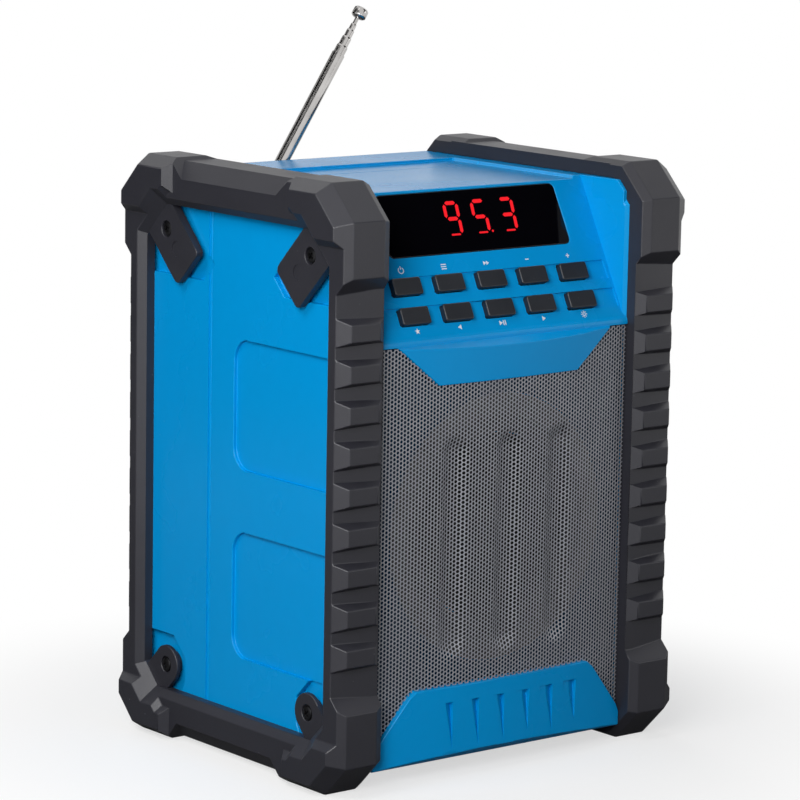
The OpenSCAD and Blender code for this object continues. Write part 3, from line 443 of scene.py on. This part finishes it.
def placeCamera():
    azimuth, elevation, roll = (math.radians(view[key]) for key in ("azimuth", "elevation", "roll"))
    back = Vector((math.sin(azimuth) * math.cos(elevation),
                   -math.cos(azimuth) * math.cos(elevation), math.sin(elevation)))
    right = (-back).cross(Vector((0, 0, 1))).normalized()
    up = right.cross(-back)
    turnedRight = right * math.cos(roll) + up * math.sin(roll)
    turnedUp = up * math.cos(roll) - right * math.sin(roll)
    turn = Matrix((turnedRight, turnedUp, back)).transposed().to_4x4()
    lens = bpy.data.cameras.new("camera")
    lens.lens = view["lens"]
    lens.sensor_width = view["sensor"]
    lens.clip_start = view["clipStart"]
    lens.clip_end = view["clipEnd"]
    camera = addObject("camera", lens)
    spot = (Vector(view["target"]) + back * view["distance"]) * mm
    camera.matrix_world = Matrix.Translation(spot) @ turn
    bpy.context.scene.camera = camera


placeCamera()

# place and size in metres, power in watts
lamps = {
    "keyLamp": {"spot": (-0.75, -0.60, 0.50), "size": 0.5, "power": 8.2},
    "topLamp": {"spot": (-0.90, -0.10, 1.10), "size": 0.6, "power": 6.5},
    "frontLamp": {"spot": (-0.30, -1.40, 0.15), "size": 0.5, "power": 1.2},
    "rightLamp": {"spot": (1.10, -1.10, 0.50), "size": 0.6, "power": 1.6},
    "backLamp": {"spot": (0.40, 1.80, 1.60), "size": 1.2, "power": 9.0},
}
lampAim = Vector((0, 0, 0.13))
for name, lamp in lamps.items():
    light = bpy.data.lights.new(name, "AREA")
    light.shape = "DISK"
    light.size = lamp["size"]
    light.energy = lamp["power"]
    holder = addObject(name, light)
    holder.location = lamp["spot"]
    holder.rotation_euler = (lampAim - Vector(lamp["spot"])).to_track_quat("-Z", "Y").to_euler()

# soft light on the radio; white wherever the room itself is seen, mirrored or looked through
room = {"softColour": (0.93, 0.96, 1.0, 1.0), "soft": 0.05, "white": 1.0}


def makeWorld():
    world = bpy.data.worlds.new("studio")
    bpy.context.scene.world = world
    world.use_nodes = True
    tree = world.node_tree
    tree.nodes.clear()
    path = addNode(tree, "LightPath")
    seen = addNode(tree, "Math", {"operation": "MAXIMUM"},
                   {0: path.outputs["Is Camera Ray"], 1: path.outputs["Is Transmission Ray"]})
    seenToo = addNode(tree, "Math", {"operation": "MAXIMUM"},
                      {0: seen.outputs[0], 1: path.outputs["Is Glossy Ray"]})
    soft = addNode(tree, "Background", {"Color": room["softColour"], "Strength": room["soft"]})
    white = addNode(tree, "Background", {"Color": (1.0, 1.0, 1.0, 1.0),
                                         "Strength": room["white"]})
    both = addNode(tree, "MixShader", None,
                   {0: seenToo.outputs[0], 1: soft.outputs[0], 2: white.outputs[0]})
    output = addNode(tree, "OutputWorld")
    tree.links.new(both.outputs[0], output.inputs["Surface"])


makeWorld()

# dark flags, seen only in reflections: they keep the gloss deep and draw dark lines on the chrome
flags = {
    "rightFlag": {"spot": (0.72, -0.76, 0.95), "width": 0.90, "height": 1.10},
    "leftFlag": {"spot": (-0.42, 0.52, 0.22), "width": 0.60, "height": 0.44},
    "tallFlag": {"spot": (-1.00, 1.00, 1.00), "width": 0.90, "height": 1.40},
    "highFlag": {"spot": (0.20, 1.00, 1.00), "width": 1.20, "height": 0.70},
    "antennaFlag": {"spot": (-0.24, 0.03, 0.52), "width": 0.62, "height": 0.30},
}
felt = {"colour": "#0A0A0B", "second": "#101011", "fibreMm": 4}


def makeFlags():
    material, tree, place, output = newMaterial("blackFelt")
    fibres = addNode(tree, "TexNoise", {"Scale": perMetre(felt["fibreMm"]), "Detail": 3.0},
                     {"Vector": place})
    colour = addNode(tree, "Mix", {"data_type": "RGBA", mixA: linear(felt["colour"]),
                                   mixB: linear(felt["second"])}, {0: fibres.outputs["Fac"]})
    cloth = addNode(tree, "BsdfPrincipled", {"Roughness": 1.0, "Specular IOR Level": 0.0},
                    {"Base Color": colour.outputs[mixed]})
    finishMaterial(tree, output, cloth.outputs[0])
    for name, flag in flags.items():
        shape = bmesh.new()
        bmesh.ops.create_grid(shape, x_segments=1, y_segments=1, size=0.5)
        turn = Vector((*flag["spot"][:2], 0)).to_track_quat("Z", "Y").to_matrix().to_4x4()
        moveShape(shape, Matrix.Translation(flag["spot"]) @ turn
                  @ Matrix.Diagonal((flag["width"], flag["height"], 1, 1)))
        card = addObject(name, meshFrom(shape, name))
        card.data.materials.append(material)
        card.visible_camera = card.visible_diffuse = False
        card.visible_shadow = card.visible_transmission = False


makeFlags()

# fades: share of plain white under the radio, and the distances in metres between which it grows;
# bounced light sees the paper darker, so that the underside keeps its shade
paper = {"colour": "#F6F6F6", "second": "#F2F2F2", "bounced": "#6A6A6A", "grainMm": 3,
         "cameraFade": (0.62, 0.10, 0.26), "glossFade": (0.00, 0.35, 1.00), "halfWidth": 9}


def makeFloor():
    material, tree, place, output = newMaterial("paperFloor")
    grain = addNode(tree, "TexNoise", {"Scale": perMetre(paper["grainMm"]), "Detail": 4.0},
                    {"Vector": place})
    colour = addNode(tree, "Mix", {"data_type": "RGBA", mixA: linear(paper["colour"]),
                                   mixB: linear(paper["second"])}, {0: grain.outputs["Fac"]})
    path = addNode(tree, "LightPath")
    gloss = addNode(tree, "Math", {"operation": "MAXIMUM"},
                    {0: path.outputs["Is Glossy Ray"], 1: path.outputs["Is Transmission Ray"]})
    bounced = addNode(tree, "Math", {"operation": "MAXIMUM"},
                      {0: path.outputs["Is Diffuse Ray"], 1: gloss.outputs[0]})
    shade = addNode(tree, "Mix", {"data_type": "RGBA", mixB: linear(paper["bounced"])},
                    {0: bounced.outputs[0], mixA: colour.outputs[mixed]})
    sheet = addNode(tree, "BsdfPrincipled", {"Roughness": 0.9, "Specular IOR Level": 0.1},
                    {"Base Color": shade.outputs[mixed]})
    distance = addNode(tree, "VectorMath", {"operation": "LENGTH"}, {0: place})
    fades = []
    for (low, near, far), ray in ((paper["cameraFade"], path.outputs["Is Camera Ray"]),
                                  (paper["glossFade"], gloss.outputs[0])):
        fade = addNode(tree, "MapRange", {fromLow: near, fromHigh: far, toLow: low, toHigh: 1.0,
                                          "interpolation_type": "SMOOTHSTEP"},
                       {0: distance.outputs["Value"]})
        fades.append(addNode(tree, "Math", {"operation": "MULTIPLY"}, {0: fade.outputs[0], 1: ray}))
    seen = addNode(tree, "Math", {"operation": "ADD"},
                   {0: fades[0].outputs[0], 1: fades[1].outputs[0]})
    white = addNode(tree, "Emission", {"Color": (1.0, 1.0, 1.0, 1.0), "Strength": 1.0})
    both = addNode(tree, "MixShader", None,
                   {0: seen.outputs[0], 1: sheet.outputs[0], 2: white.outputs[0]})
    finishMaterial(tree, output, both.outputs[0])
    shape = bmesh.new()
    bmesh.ops.create_grid(shape, x_segments=4, y_segments=4, size=paper["halfWidth"])
    floor = addObject("floor", meshFrom(shape, "floor"))
    floor.data.materials.append(material)


makeFloor()
bpy.context.scene.view_settings.view_transform = "Standard"
print("camera, lamps and floor placed")

frameLook = {"roundingMm": 0.45, "segments": 2, "careful": True}
for node in ("left_frame", "right_frame"):
    dressSolid(node, "radio", "charcoalFrame", frameLook)
print("side frames made")

shellLook = {"roundingMm": 0.4, "segments": 2, "careful": True}
for node in ("front_shell", "rear_shell"):
    dressSolid(node, "radio", "blueAbs", shellLook)
print("housing made")

# perforated front: a bowed sheet with three pressed flutes; plate and apron give half the width
# and the height at the two ends of the trim's slanted side, which the sheet runs behind
grille = {
    "pitchMm": 1.685, "stretch": 1.04, "holeMm": 0.75, "sheetMm": 0.4, "halfWidthMm": 64.6,
    "bottomMm": 13.0, "topMm": 174.2, "frontMm": 70.0, "bowMm": 480.0,
    "flutesMm": (-27.0, 0.0, 27.0), "fluteEndsMm": (48.0, 138.5), "fluteFloorMm": 1.3,
    "fluteRimMm": 7.5, "fluteDepthMm": 1.8, "plateMm": ((35.4, 158.5), (54.8, 174.6)),
    "apronMm": ((63.0, 16.4), (46.5, 37.4)), "hiddenMm": 1.8, "mergeMm": 0.01, "cutMm": 0.001,
}


def fluteDepth(x, z):
    low, high = grille["fluteEndsMm"]
    reach = grille["fluteRimMm"]
    past = max(low + reach - z, z - high + reach, 0.0)
    away = min(math.hypot(x - middle, past) for middle in grille["flutesMm"])
    t = (reach - away) / (reach - grille["fluteFloorMm"])
    t = min(max(t, 0.0), 1.0)
    return grille["fluteDepthMm"] * t * t * (3 - 2 * t)


def sheetFront(x, z):
    bow = grille["bowMm"] - math.sqrt(grille["bowMm"] ** 2 - x * x)
    return -grille["frontMm"] + bow + fluteDepth(x, z)


def behindTrim(x, z):
    # under the nameplate or the apron, where the sheet isn't seen
    margin = grille["hiddenMm"]
    (x0, z0), (x1, z1) = grille["plateMm"]
    if z > z0 + margin and abs(x) < x0 + (z - z0) * (x1 - x0) / (z1 - z0) - margin:
        return True
    (x0, z0), (x1, z1) = grille["apronMm"]
    return z < z1 - margin and abs(x) < x0 + max(z - z0, 0) * (x1 - x0) / (z1 - z0) - margin


def makeCells():
    # two hexagonal cells with a hole each, repeated up and across the sheet
    pitch = grille["pitchMm"]
    column = pitch * math.sqrt(3)
    shape = bmesh.new()
    for x, z in ((0.0, 0.0), (column / 2, pitch / 2)):
        made = bmesh.ops.create_circle(shape, cap_ends=True, segments=6,
                                       radius=pitch / math.sqrt(3))
        bmesh.ops.transform(shape, verts=made["verts"], matrix=Matrix.Translation((x, 0, z))
                            @ Matrix.Rotation(math.pi / 2, 4, "X")
                            @ Matrix.Rotation(math.pi / 6, 4, "Z"))
    faces = list(shape.faces)
    web = pitch / 2 - grille["holeMm"] * math.sqrt(3) / 2
    bmesh.ops.inset_individual(shape, faces=faces, thickness=web)
    bmesh.ops.delete(shape, geom=faces, context="FACES_ONLY")
    cell = addObject("cell", meshFrom(shape, "cell"))
    rows = int((grille["topMm"] - grille["bottomMm"]) / pitch) + 2
    columns = int(2 * grille["halfWidthMm"] / column) + 2
    for count, offset in ((rows, (0, 0, pitch)), (columns, (column, 0, 0))):
        array = cell.modifiers.new("rows", "ARRAY")
        array.count = count
        array.use_relative_offset = False
        array.use_constant_offset = True
        array.constant_offset_displace = offset
    graph = bpy.context.evaluated_depsgraph_get()
    spread = bpy.data.meshes.new_from_object(cell.evaluated_get(graph))
    bpy.data.objects.remove(cell)
    shape = bmesh.new()
    shape.from_mesh(spread)
    bpy.data.meshes.remove(spread)
    bmesh.ops.remove_doubles(shape, verts=shape.verts, dist=grille["mergeMm"])
    start = (-columns * column / 2 + column / 4, 0, grille["bottomMm"] - pitch / 2)
    moveShape(shape, Matrix.Diagonal((grille["stretch"], 1, 1, 1)) @ Matrix.Translation(start))
    return shape


def makeGrille():
    shape = makeCells()
    middles = {face: face.calc_center_median() for face in shape.faces}
    hidden = [face for face, middle in middles.items() if behindTrim(middle.x, middle.z)]
    bmesh.ops.delete(shape, geom=hidden, context="FACES")
    half = grille["halfWidthMm"]
    for axis, limit in (((1, 0, 0), half), ((-1, 0, 0), half), ((0, 0, 1), grille["topMm"]),
                        ((0, 0, -1), -grille["bottomMm"])):
        everything = shape.verts[:] + shape.edges[:] + shape.faces[:]
        bmesh.ops.bisect_plane(shape, geom=everything, plane_co=Vector(axis) * limit,
                               plane_no=axis, clear_outer=True, dist=grille["cutMm"])
    rims = [e for e in shape.edges if len(e.link_faces) == 1]
    made = bmesh.ops.extrude_edge_only(shape, edges=rims)
    deeper = [g for g in made["geom"] if isinstance(g, bmesh.types.BMVert)]
    bmesh.ops.translate(shape, vec=(0, grille["sheetMm"], 0), verts=deeper)
    bmesh.ops.recalc_face_normals(shape, faces=shape.faces)
    for vert in shape.verts:
        vert.co.y += sheetFront(vert.co.x, vert.co.z)
    bmesh.ops.scale(shape, vec=(mm, mm, mm), verts=shape.verts)
    if sum(f.normal.y for f in shape.faces if abs(f.normal.y) > 0.8) > 0:
        bmesh.ops.reverse_faces(shape, faces=shape.faces)  # the sheet's face looks forward
    print("grille faces:", len(shape.faces))
    return shape


addPiece(makeGrille(), "perforatedFront", "radio", "greySteel", ["grille"],
         angle=40)
print("grille made")

# control panel: depth and height of its upper edge and its lean from upright; marks and digits are
# drawn flat, x to the right and y up the slope from the middle of that edge
panel = {"depthMm": -38.5, "heightMm": 232.0, "lean": 26.15}
onPanel = Matrix.Translation((0, panel["depthMm"] * mm, panel["heightMm"] * mm)) @ Matrix.Rotation(
    math.radians(90 - panel["lean"]), 4, "X")

windowLook = {"roundingMm": 0.3, "segments": 2}
dressSolid("display_window", "radio", "smokedWindow", windowLook)

# seven-bar digits: each place has its middle and the letters of its lit bars; a bar's pointed tip
# is given in shares of its thickness
digits = {"heightMm": 13.2, "widthMm": 6.3, "barMm": 1.55, "lowBarMm": 0.75, "gapMm": 0.95,
          "slant": 0.07, "liftMm": 0.03, "rowMm": 13.6, "dotMm": (8.2, 19.9), "dotRadiusMm": 0.5,
          "places": ((-10.25, "abcdfg"), (3.85, "acdfg"), (18.15, "abcdg")),
          "tipWidth": 0.47, "tipLength": 0.55}


def bar(x0, y0, x1, y1, thick, pointed=True):
    shape = bmesh.new()
    bmesh.ops.create_grid(shape, x_segments=1, y_segments=1, size=0.5)
    run = Vector((x1 - x0, y1 - y0, 0))
    longer = thick * digits["tipLength"] if pointed else 0
    bmesh.ops.scale(shape, vec=(run.length + longer, thick, 1), verts=shape.verts)
    if pointed:
        bmesh.ops.bevel(shape, geom=shape.verts[:], offset=thick * digits["tipWidth"],
                        offset_type="OFFSET", segments=1, profile=0.5, affect="VERTICES",
                        material=-1)
    turn = Matrix.Rotation(math.atan2(run.y, run.x), 4, "Z")
    moveShape(shape, Matrix.Translation(((x0 + x1) / 2, (y0 + y1) / 2, 0)) @ turn)
    return shape


def layOnPanel(shape, liftMm):
    moveShape(shape, onPanel @ Matrix.Translation((0, 0, liftMm * mm)) @ Matrix.Scale(mm, 4))
    return shape


def makeDigits():
    w, h = digits["widthMm"] / 2, digits["heightMm"] / 2
    gap = digits["gapMm"]
    bars = {"a": (-w + gap, h, w - gap, h), "b": (w, h - gap, w, gap), "c": (w, -gap, w, -h + gap),
            "d": (-w + gap, -h, w - gap, -h), "f": (-w, h - gap, -w, gap),
            "g": (-w + gap, 0, w - gap, 0)}
    lean = Matrix.Identity(4)
    lean[0][1] = digits["slant"]
    parts = []
    for middle, lit in digits["places"]:
        for letter in lit:
            piece = bar(*bars[letter], digits["lowBarMm" if letter == "d" else "barMm"])
            moveShape(piece, Matrix.Translation((middle, -digits["rowMm"], 0)) @ lean)
            parts.append(piece)
    dot = bmesh.new()
    bmesh.ops.create_circle(dot, cap_ends=True, segments=16, radius=digits["dotRadiusMm"])
    moveShape(dot, Matrix.Translation((digits["dotMm"][0], -digits["dotMm"][1], 0)))
    return layOnPanel(joinShapes(parts + [dot]), digits["liftMm"])


addPiece(makeDigits(), "litDigits", "radio", "litRed")
print("window and digits made")

buttonLook = {"roundingMm": 0.55, "segments": 3}
buttonNodes = sorted(n for n in nodes if n.endswith("_button"))
for node in buttonNodes:
    dressSolid(node, node, "buttonAbs", buttonLook)
print("buttons made:", len(buttonNodes))

# printed signs: columns and rows on the panel, the line and how much wider some are drawn, and
# half the size of each sign; the open power ring is given in degrees
marks = {
    "columnsMm": (-43.0, -21.5, 0.0, 21.5, 43.0), "upperMm": 32.9, "lowerMm": 58.0,
    "liftMm": 0.03, "lineMm": 0.38, "signLine": 1.2, "pauseLine": 1.3,
    "powerMm": 1.25, "powerFrom": 125, "powerSweep": 290, "stemMm": (0.35, 1.75),
    "menuMm": 1.3, "menuRowMm": 0.9, "signMm": 0.9, "arrowMm": 1.15, "scanArrowMm": 0.95,
    "scanStepMm": 0.75, "playMm": -0.9, "pauseMm": (0.65, 1.6), "pauseHeightMm": 1.0,
    "sunMm": 0.62, "raysMm": (1.0, 1.5), "rays": 8, "starMm": 1.35, "starWaist": 0.42,
}


def ring(radius, line, start=0.0, sweep=math.tau, steps=24):
    shape = bmesh.new()
    inner = shape.verts.new((radius - line / 2, 0, 0))
    outer = shape.verts.new((radius + line / 2, 0, 0))
    edge = shape.edges.new((inner, outer))
    bmesh.ops.rotate(shape, cent=(0, 0, 0), matrix=Matrix.Rotation(start, 3, "Z"),
                     verts=[inner, outer])
    bmesh.ops.spin(shape, geom=[inner, outer, edge], cent=(0, 0, 0), axis=(0, 0, 1),
                   angle=sweep, steps=steps, use_merge=sweep == math.tau)
    return shape


def arrow(radius, turn, x=0.0):
    shape = bmesh.new()
    bmesh.ops.create_circle(shape, cap_ends=True, segments=3, radius=radius)
    moveShape(shape, Matrix.Translation((x, 0, 0)) @ Matrix.Rotation(turn, 4, "Z"))
    return shape


def star(radius):
    shape = bmesh.new()
    points = bmesh.ops.create_circle(shape, cap_ends=True, segments=10, radius=radius)["verts"]
    waist = marks["starWaist"]
    bmesh.ops.scale(shape, vec=(waist, waist, 1), verts=points[1::2])
    return shape


def line(x0, y0, x1, y1, wider=1.0):
    return bar(x0, y0, x1, y1, marks["lineMm"] * wider, False)


def markParts():
    right, left = -math.pi / 2, math.pi / 2
    sign, signLine = marks["signMm"], marks["signLine"]
    menu, tall = marks["menuMm"], marks["pauseHeightMm"]
    low, high = marks["stemMm"]
    near, far = marks["raysMm"]
    power = [ring(marks["powerMm"], marks["lineMm"], math.radians(marks["powerFrom"]),
                  math.radians(marks["powerSweep"]), 20), line(0, low, 0, high)]
    mode = [line(-menu, y, menu, y) for y in (-marks["menuRowMm"], 0, marks["menuRowMm"])]
    step = marks["scanStepMm"]
    scan = [arrow(marks["scanArrowMm"], right, x) for x in (-step, step)]
    minus = [line(-sign, 0, sign, 0, signLine)]
    plus = [line(-sign, 0, sign, 0, signLine), line(0, -sign, 0, sign, signLine)]
    preset = [star(marks["starMm"])]
    previous, following = [[arrow(marks["arrowMm"], way)] for way in (left, right)]
    playPause = [arrow(marks["arrowMm"], right, marks["playMm"])]
    playPause += [line(x, -tall, x, tall, marks["pauseLine"]) for x in marks["pauseMm"]]
    dimmer = [ring(marks["sunMm"], marks["lineMm"])]
    for angle in (math.tau * i / marks["rays"] for i in range(marks["rays"])):
        x, y = math.cos(angle), math.sin(angle)
        dimmer.append(line(near * x, near * y, far * x, far * y))
    return (power, mode, scan, minus, plus), (preset, previous, playPause, following, dimmer)


def makeMarks():
    placed = []
    for depth, row in zip((marks["upperMm"], marks["lowerMm"]), markParts()):
        for x, parts in zip(marks["columnsMm"], row):
            for part in parts:
                moveShape(part, Matrix.Translation((x, -depth, 0)))
                placed.append(part)
    whole = joinShapes(placed)
    for face in whole.faces:
        if face.normal.z < 0:
            face.normal_flip()
    return layOnPanel(whole, marks["liftMm"])


addPiece(makeMarks(), "panelMarks", "radio", "whiteInk")
print("marks made")

# antenna: radii and heights in mm along it, measured from the pivot of its knuckle
antenna = {
    "pivotMm": (-25.1, 71.6, 206.0), "lean": 33.5,
    "tubes": {
        "antenna_tube_2": {"outer": 2.5, "inner": 2.2, "start": 12.0, "end": 87.3},
        "antenna_tube_3": {"outer": 2.1, "inner": 1.8, "start": 13.0, "end": 91.6},
        "antenna_tube_4": {"outer": 1.7, "inner": 1.4, "start": 14.0, "end": 95.2},
        "antenna_tube_5": {"outer": 1.3, "inner": 1.0, "start": 15.0, "end": 98.2}},
    "knob": ((0, 101.3), (1.5, 101.3), (2.6, 101.5), (3.2, 102.0), (3.3, 102.6), (3.3, 104.6),
             (3.2, 105.2), (2.7, 105.7), (1.6, 105.9), (0, 105.9)),
    # the lip rolled in at a tube's open end: steps in from the outer radius and back from the end
    "lip": ((0.0, 0.9), (0.02, 0.35), (0.18, 0.08)), "lipInside": (0.12, 0.1),
}
alongAntenna = Matrix.Translation(Vector(antenna["pivotMm"]) * mm) @ Matrix.Rotation(
    math.radians(antenna["lean"]), 4, "Y")


def tubeProfile(outer, inner, start, end):
    lip = [(outer - inward, end - back) for inward, back in antenna["lip"]]
    outward, back = antenna["lipInside"]
    return [(inner, start), (outer, start), *lip, (inner + outward, end), (inner, end - back),
            (inner, start)]


for node, sizes in antenna["tubes"].items():
    shape = lathe(tubeProfile(**sizes))
    moveShape(shape, alongAntenna)
    addPiece(shape, pieceName(node), node, "chromePlate", [node], angle=40)

fineLook = {"roundingMm": 0.15, "segments": 1, "crease": 40}
dressSolid("antenna_tube_1", "antenna_tube_1", "chromePlate", fineLook)

knob = lathe(antenna["knob"])
moveShape(knob, alongAntenna)
addPiece(knob, "antennaKnob", "antenna_rod", "chromePlate", ["antenna_knob"],
         angle=50)
swivelLook = {"roundingMm": 0.25, "segments": 1, "crease": 40}
for node, look in (("antenna_swivel", swivelLook), ("knuckle_pin", fineLook)):
    dressSolid(node, "antenna_swivel", "chromePlate", look)
print("antenna made")

# screws: profile of the head, length, width and height of the cross cut into it, and the places,
# each with the turn of its cross in radians
screws = {
    "profileMm": ((0, 0), (2.85, 0), (2.85, 0.75), (2.622, 1.15), (1.767, 1.42), (0, 1.5)),
    "steps": 28, "crossMm": (3.0, 0.8, 2.0), "crossFloorMm": 0.6,
    "frame": (((81.9, 47.9, 210.4), 0.5), ((81.9, -47.9, 210.4), 1.0), ((81.1, 48.0, 29.8), 0.2),
              ((81.1, -48.0, 29.8), 0.7)),
    "shell": (((-58, 34.0, 20), 0.4), ((-58, 34.0, 216), 0.4), ((58, 34.0, 20), 0.4),
              ((58, 34.0, 216), 0.4)),
}


def makeScrewHead():
    head = lathe(screws["profileMm"], screws["steps"])
    cutter = bmesh.new()
    length, width, height = screws["crossMm"]
    middle = Matrix.Translation((0, 0, screws["crossFloorMm"] + height / 2))
    for turn in (0, math.pi / 2):
        made = bmesh.ops.create_cube(cutter, size=1.0)
        bmesh.ops.transform(cutter, verts=made["verts"], matrix=Matrix.Scale(mm, 4) @ middle
                            @ Matrix.Rotation(turn, 4, "Z")
                            @ Matrix.Diagonal((length, width, height, 1)))
    body = addObject("head", meshFrom(head, "head"))
    tool = addObject("cutter", meshFrom(cutter, "cutter"))
    cut = body.modifiers.new("cross", "BOOLEAN")
    cut.operation = "DIFFERENCE"
    cut.object = tool
    cut.solver = "EXACT"
    cut.use_self = True
    graph = bpy.context.evaluated_depsgraph_get()
    result = bpy.data.meshes.new_from_object(body.evaluated_get(graph))
    for thing in (body, tool):
        bpy.data.objects.remove(thing)
    return result


def addScrews(name, node, places):
    parts = []
    for spot, direction, twist in places:
        turn = Vector(direction).to_track_quat("Z", "Y").to_matrix().to_4x4()
        shape = bmesh.new()
        shape.from_mesh(screwHead)
        moveShape(shape, Matrix.Translation(Vector(spot) * mm) @ turn
                  @ Matrix.Rotation(twist, 4, "Z"))
        parts.append(shape)
    addPiece(joinShapes(parts), name, "radio", "blackOxide", [node], angle=35)


screwHead = makeScrewHead()
addScrews("frameScrews", "frame_screws", [((way * x, y, z), (way, 0, 0), twist) for way in (-1, 1)
                                          for (x, y, z), twist in screws["frame"]])
addScrews("shellScrews", "shell_screws", [(spot, (0, 1, 0), twist)
                                          for spot, twist in screws["shell"]])
print("screws made")

coverLook = {"roundingMm": 0.35, "segments": 2}
dressSolid("port_cover", "port_cover", "blackRubber", coverLook)
print("port cover made")

# inner parts keep their solids and only get a finish
innerFinishes = {
    "shell_seal": "blackRubber", "led_display": "blackMoulding", "button_board": "boardLacquer",
    "tact_switches": "blackMoulding", "speaker_basket": "basketPaint",
    "speaker_surround": "blackRubber", "speaker_cone": "conePaper", "dust_cap": "conePaper",
    "voice_coil": "copperWire", "speaker_magnet": "ferrite", "speaker_screws": "blackOxide",
    "main_board": "boardLacquer", "tuner_module": "zincPlate",
    "amplifier_heatsink": "rawAluminium", "battery_pack": "cellSleeve",
    "battery_bracket": "blackMoulding", "port_board": "boardLacquer",
    "dc_socket": "blackMoulding", "usb_socket": "zincPlate", "aux_socket": "blackMoulding",
    "antenna_retainer": "zincPlate", "antenna_rod": "chromePlate", "board_screws": "zincPlate",
}
for node, finish in innerFinishes.items():
    slots = nodes[node].data.materials
    slots.clear()
    slots.append(finishes[finish])
print("inner parts finished:", len(innerFinishes))

bpy.context.view_layer.update()
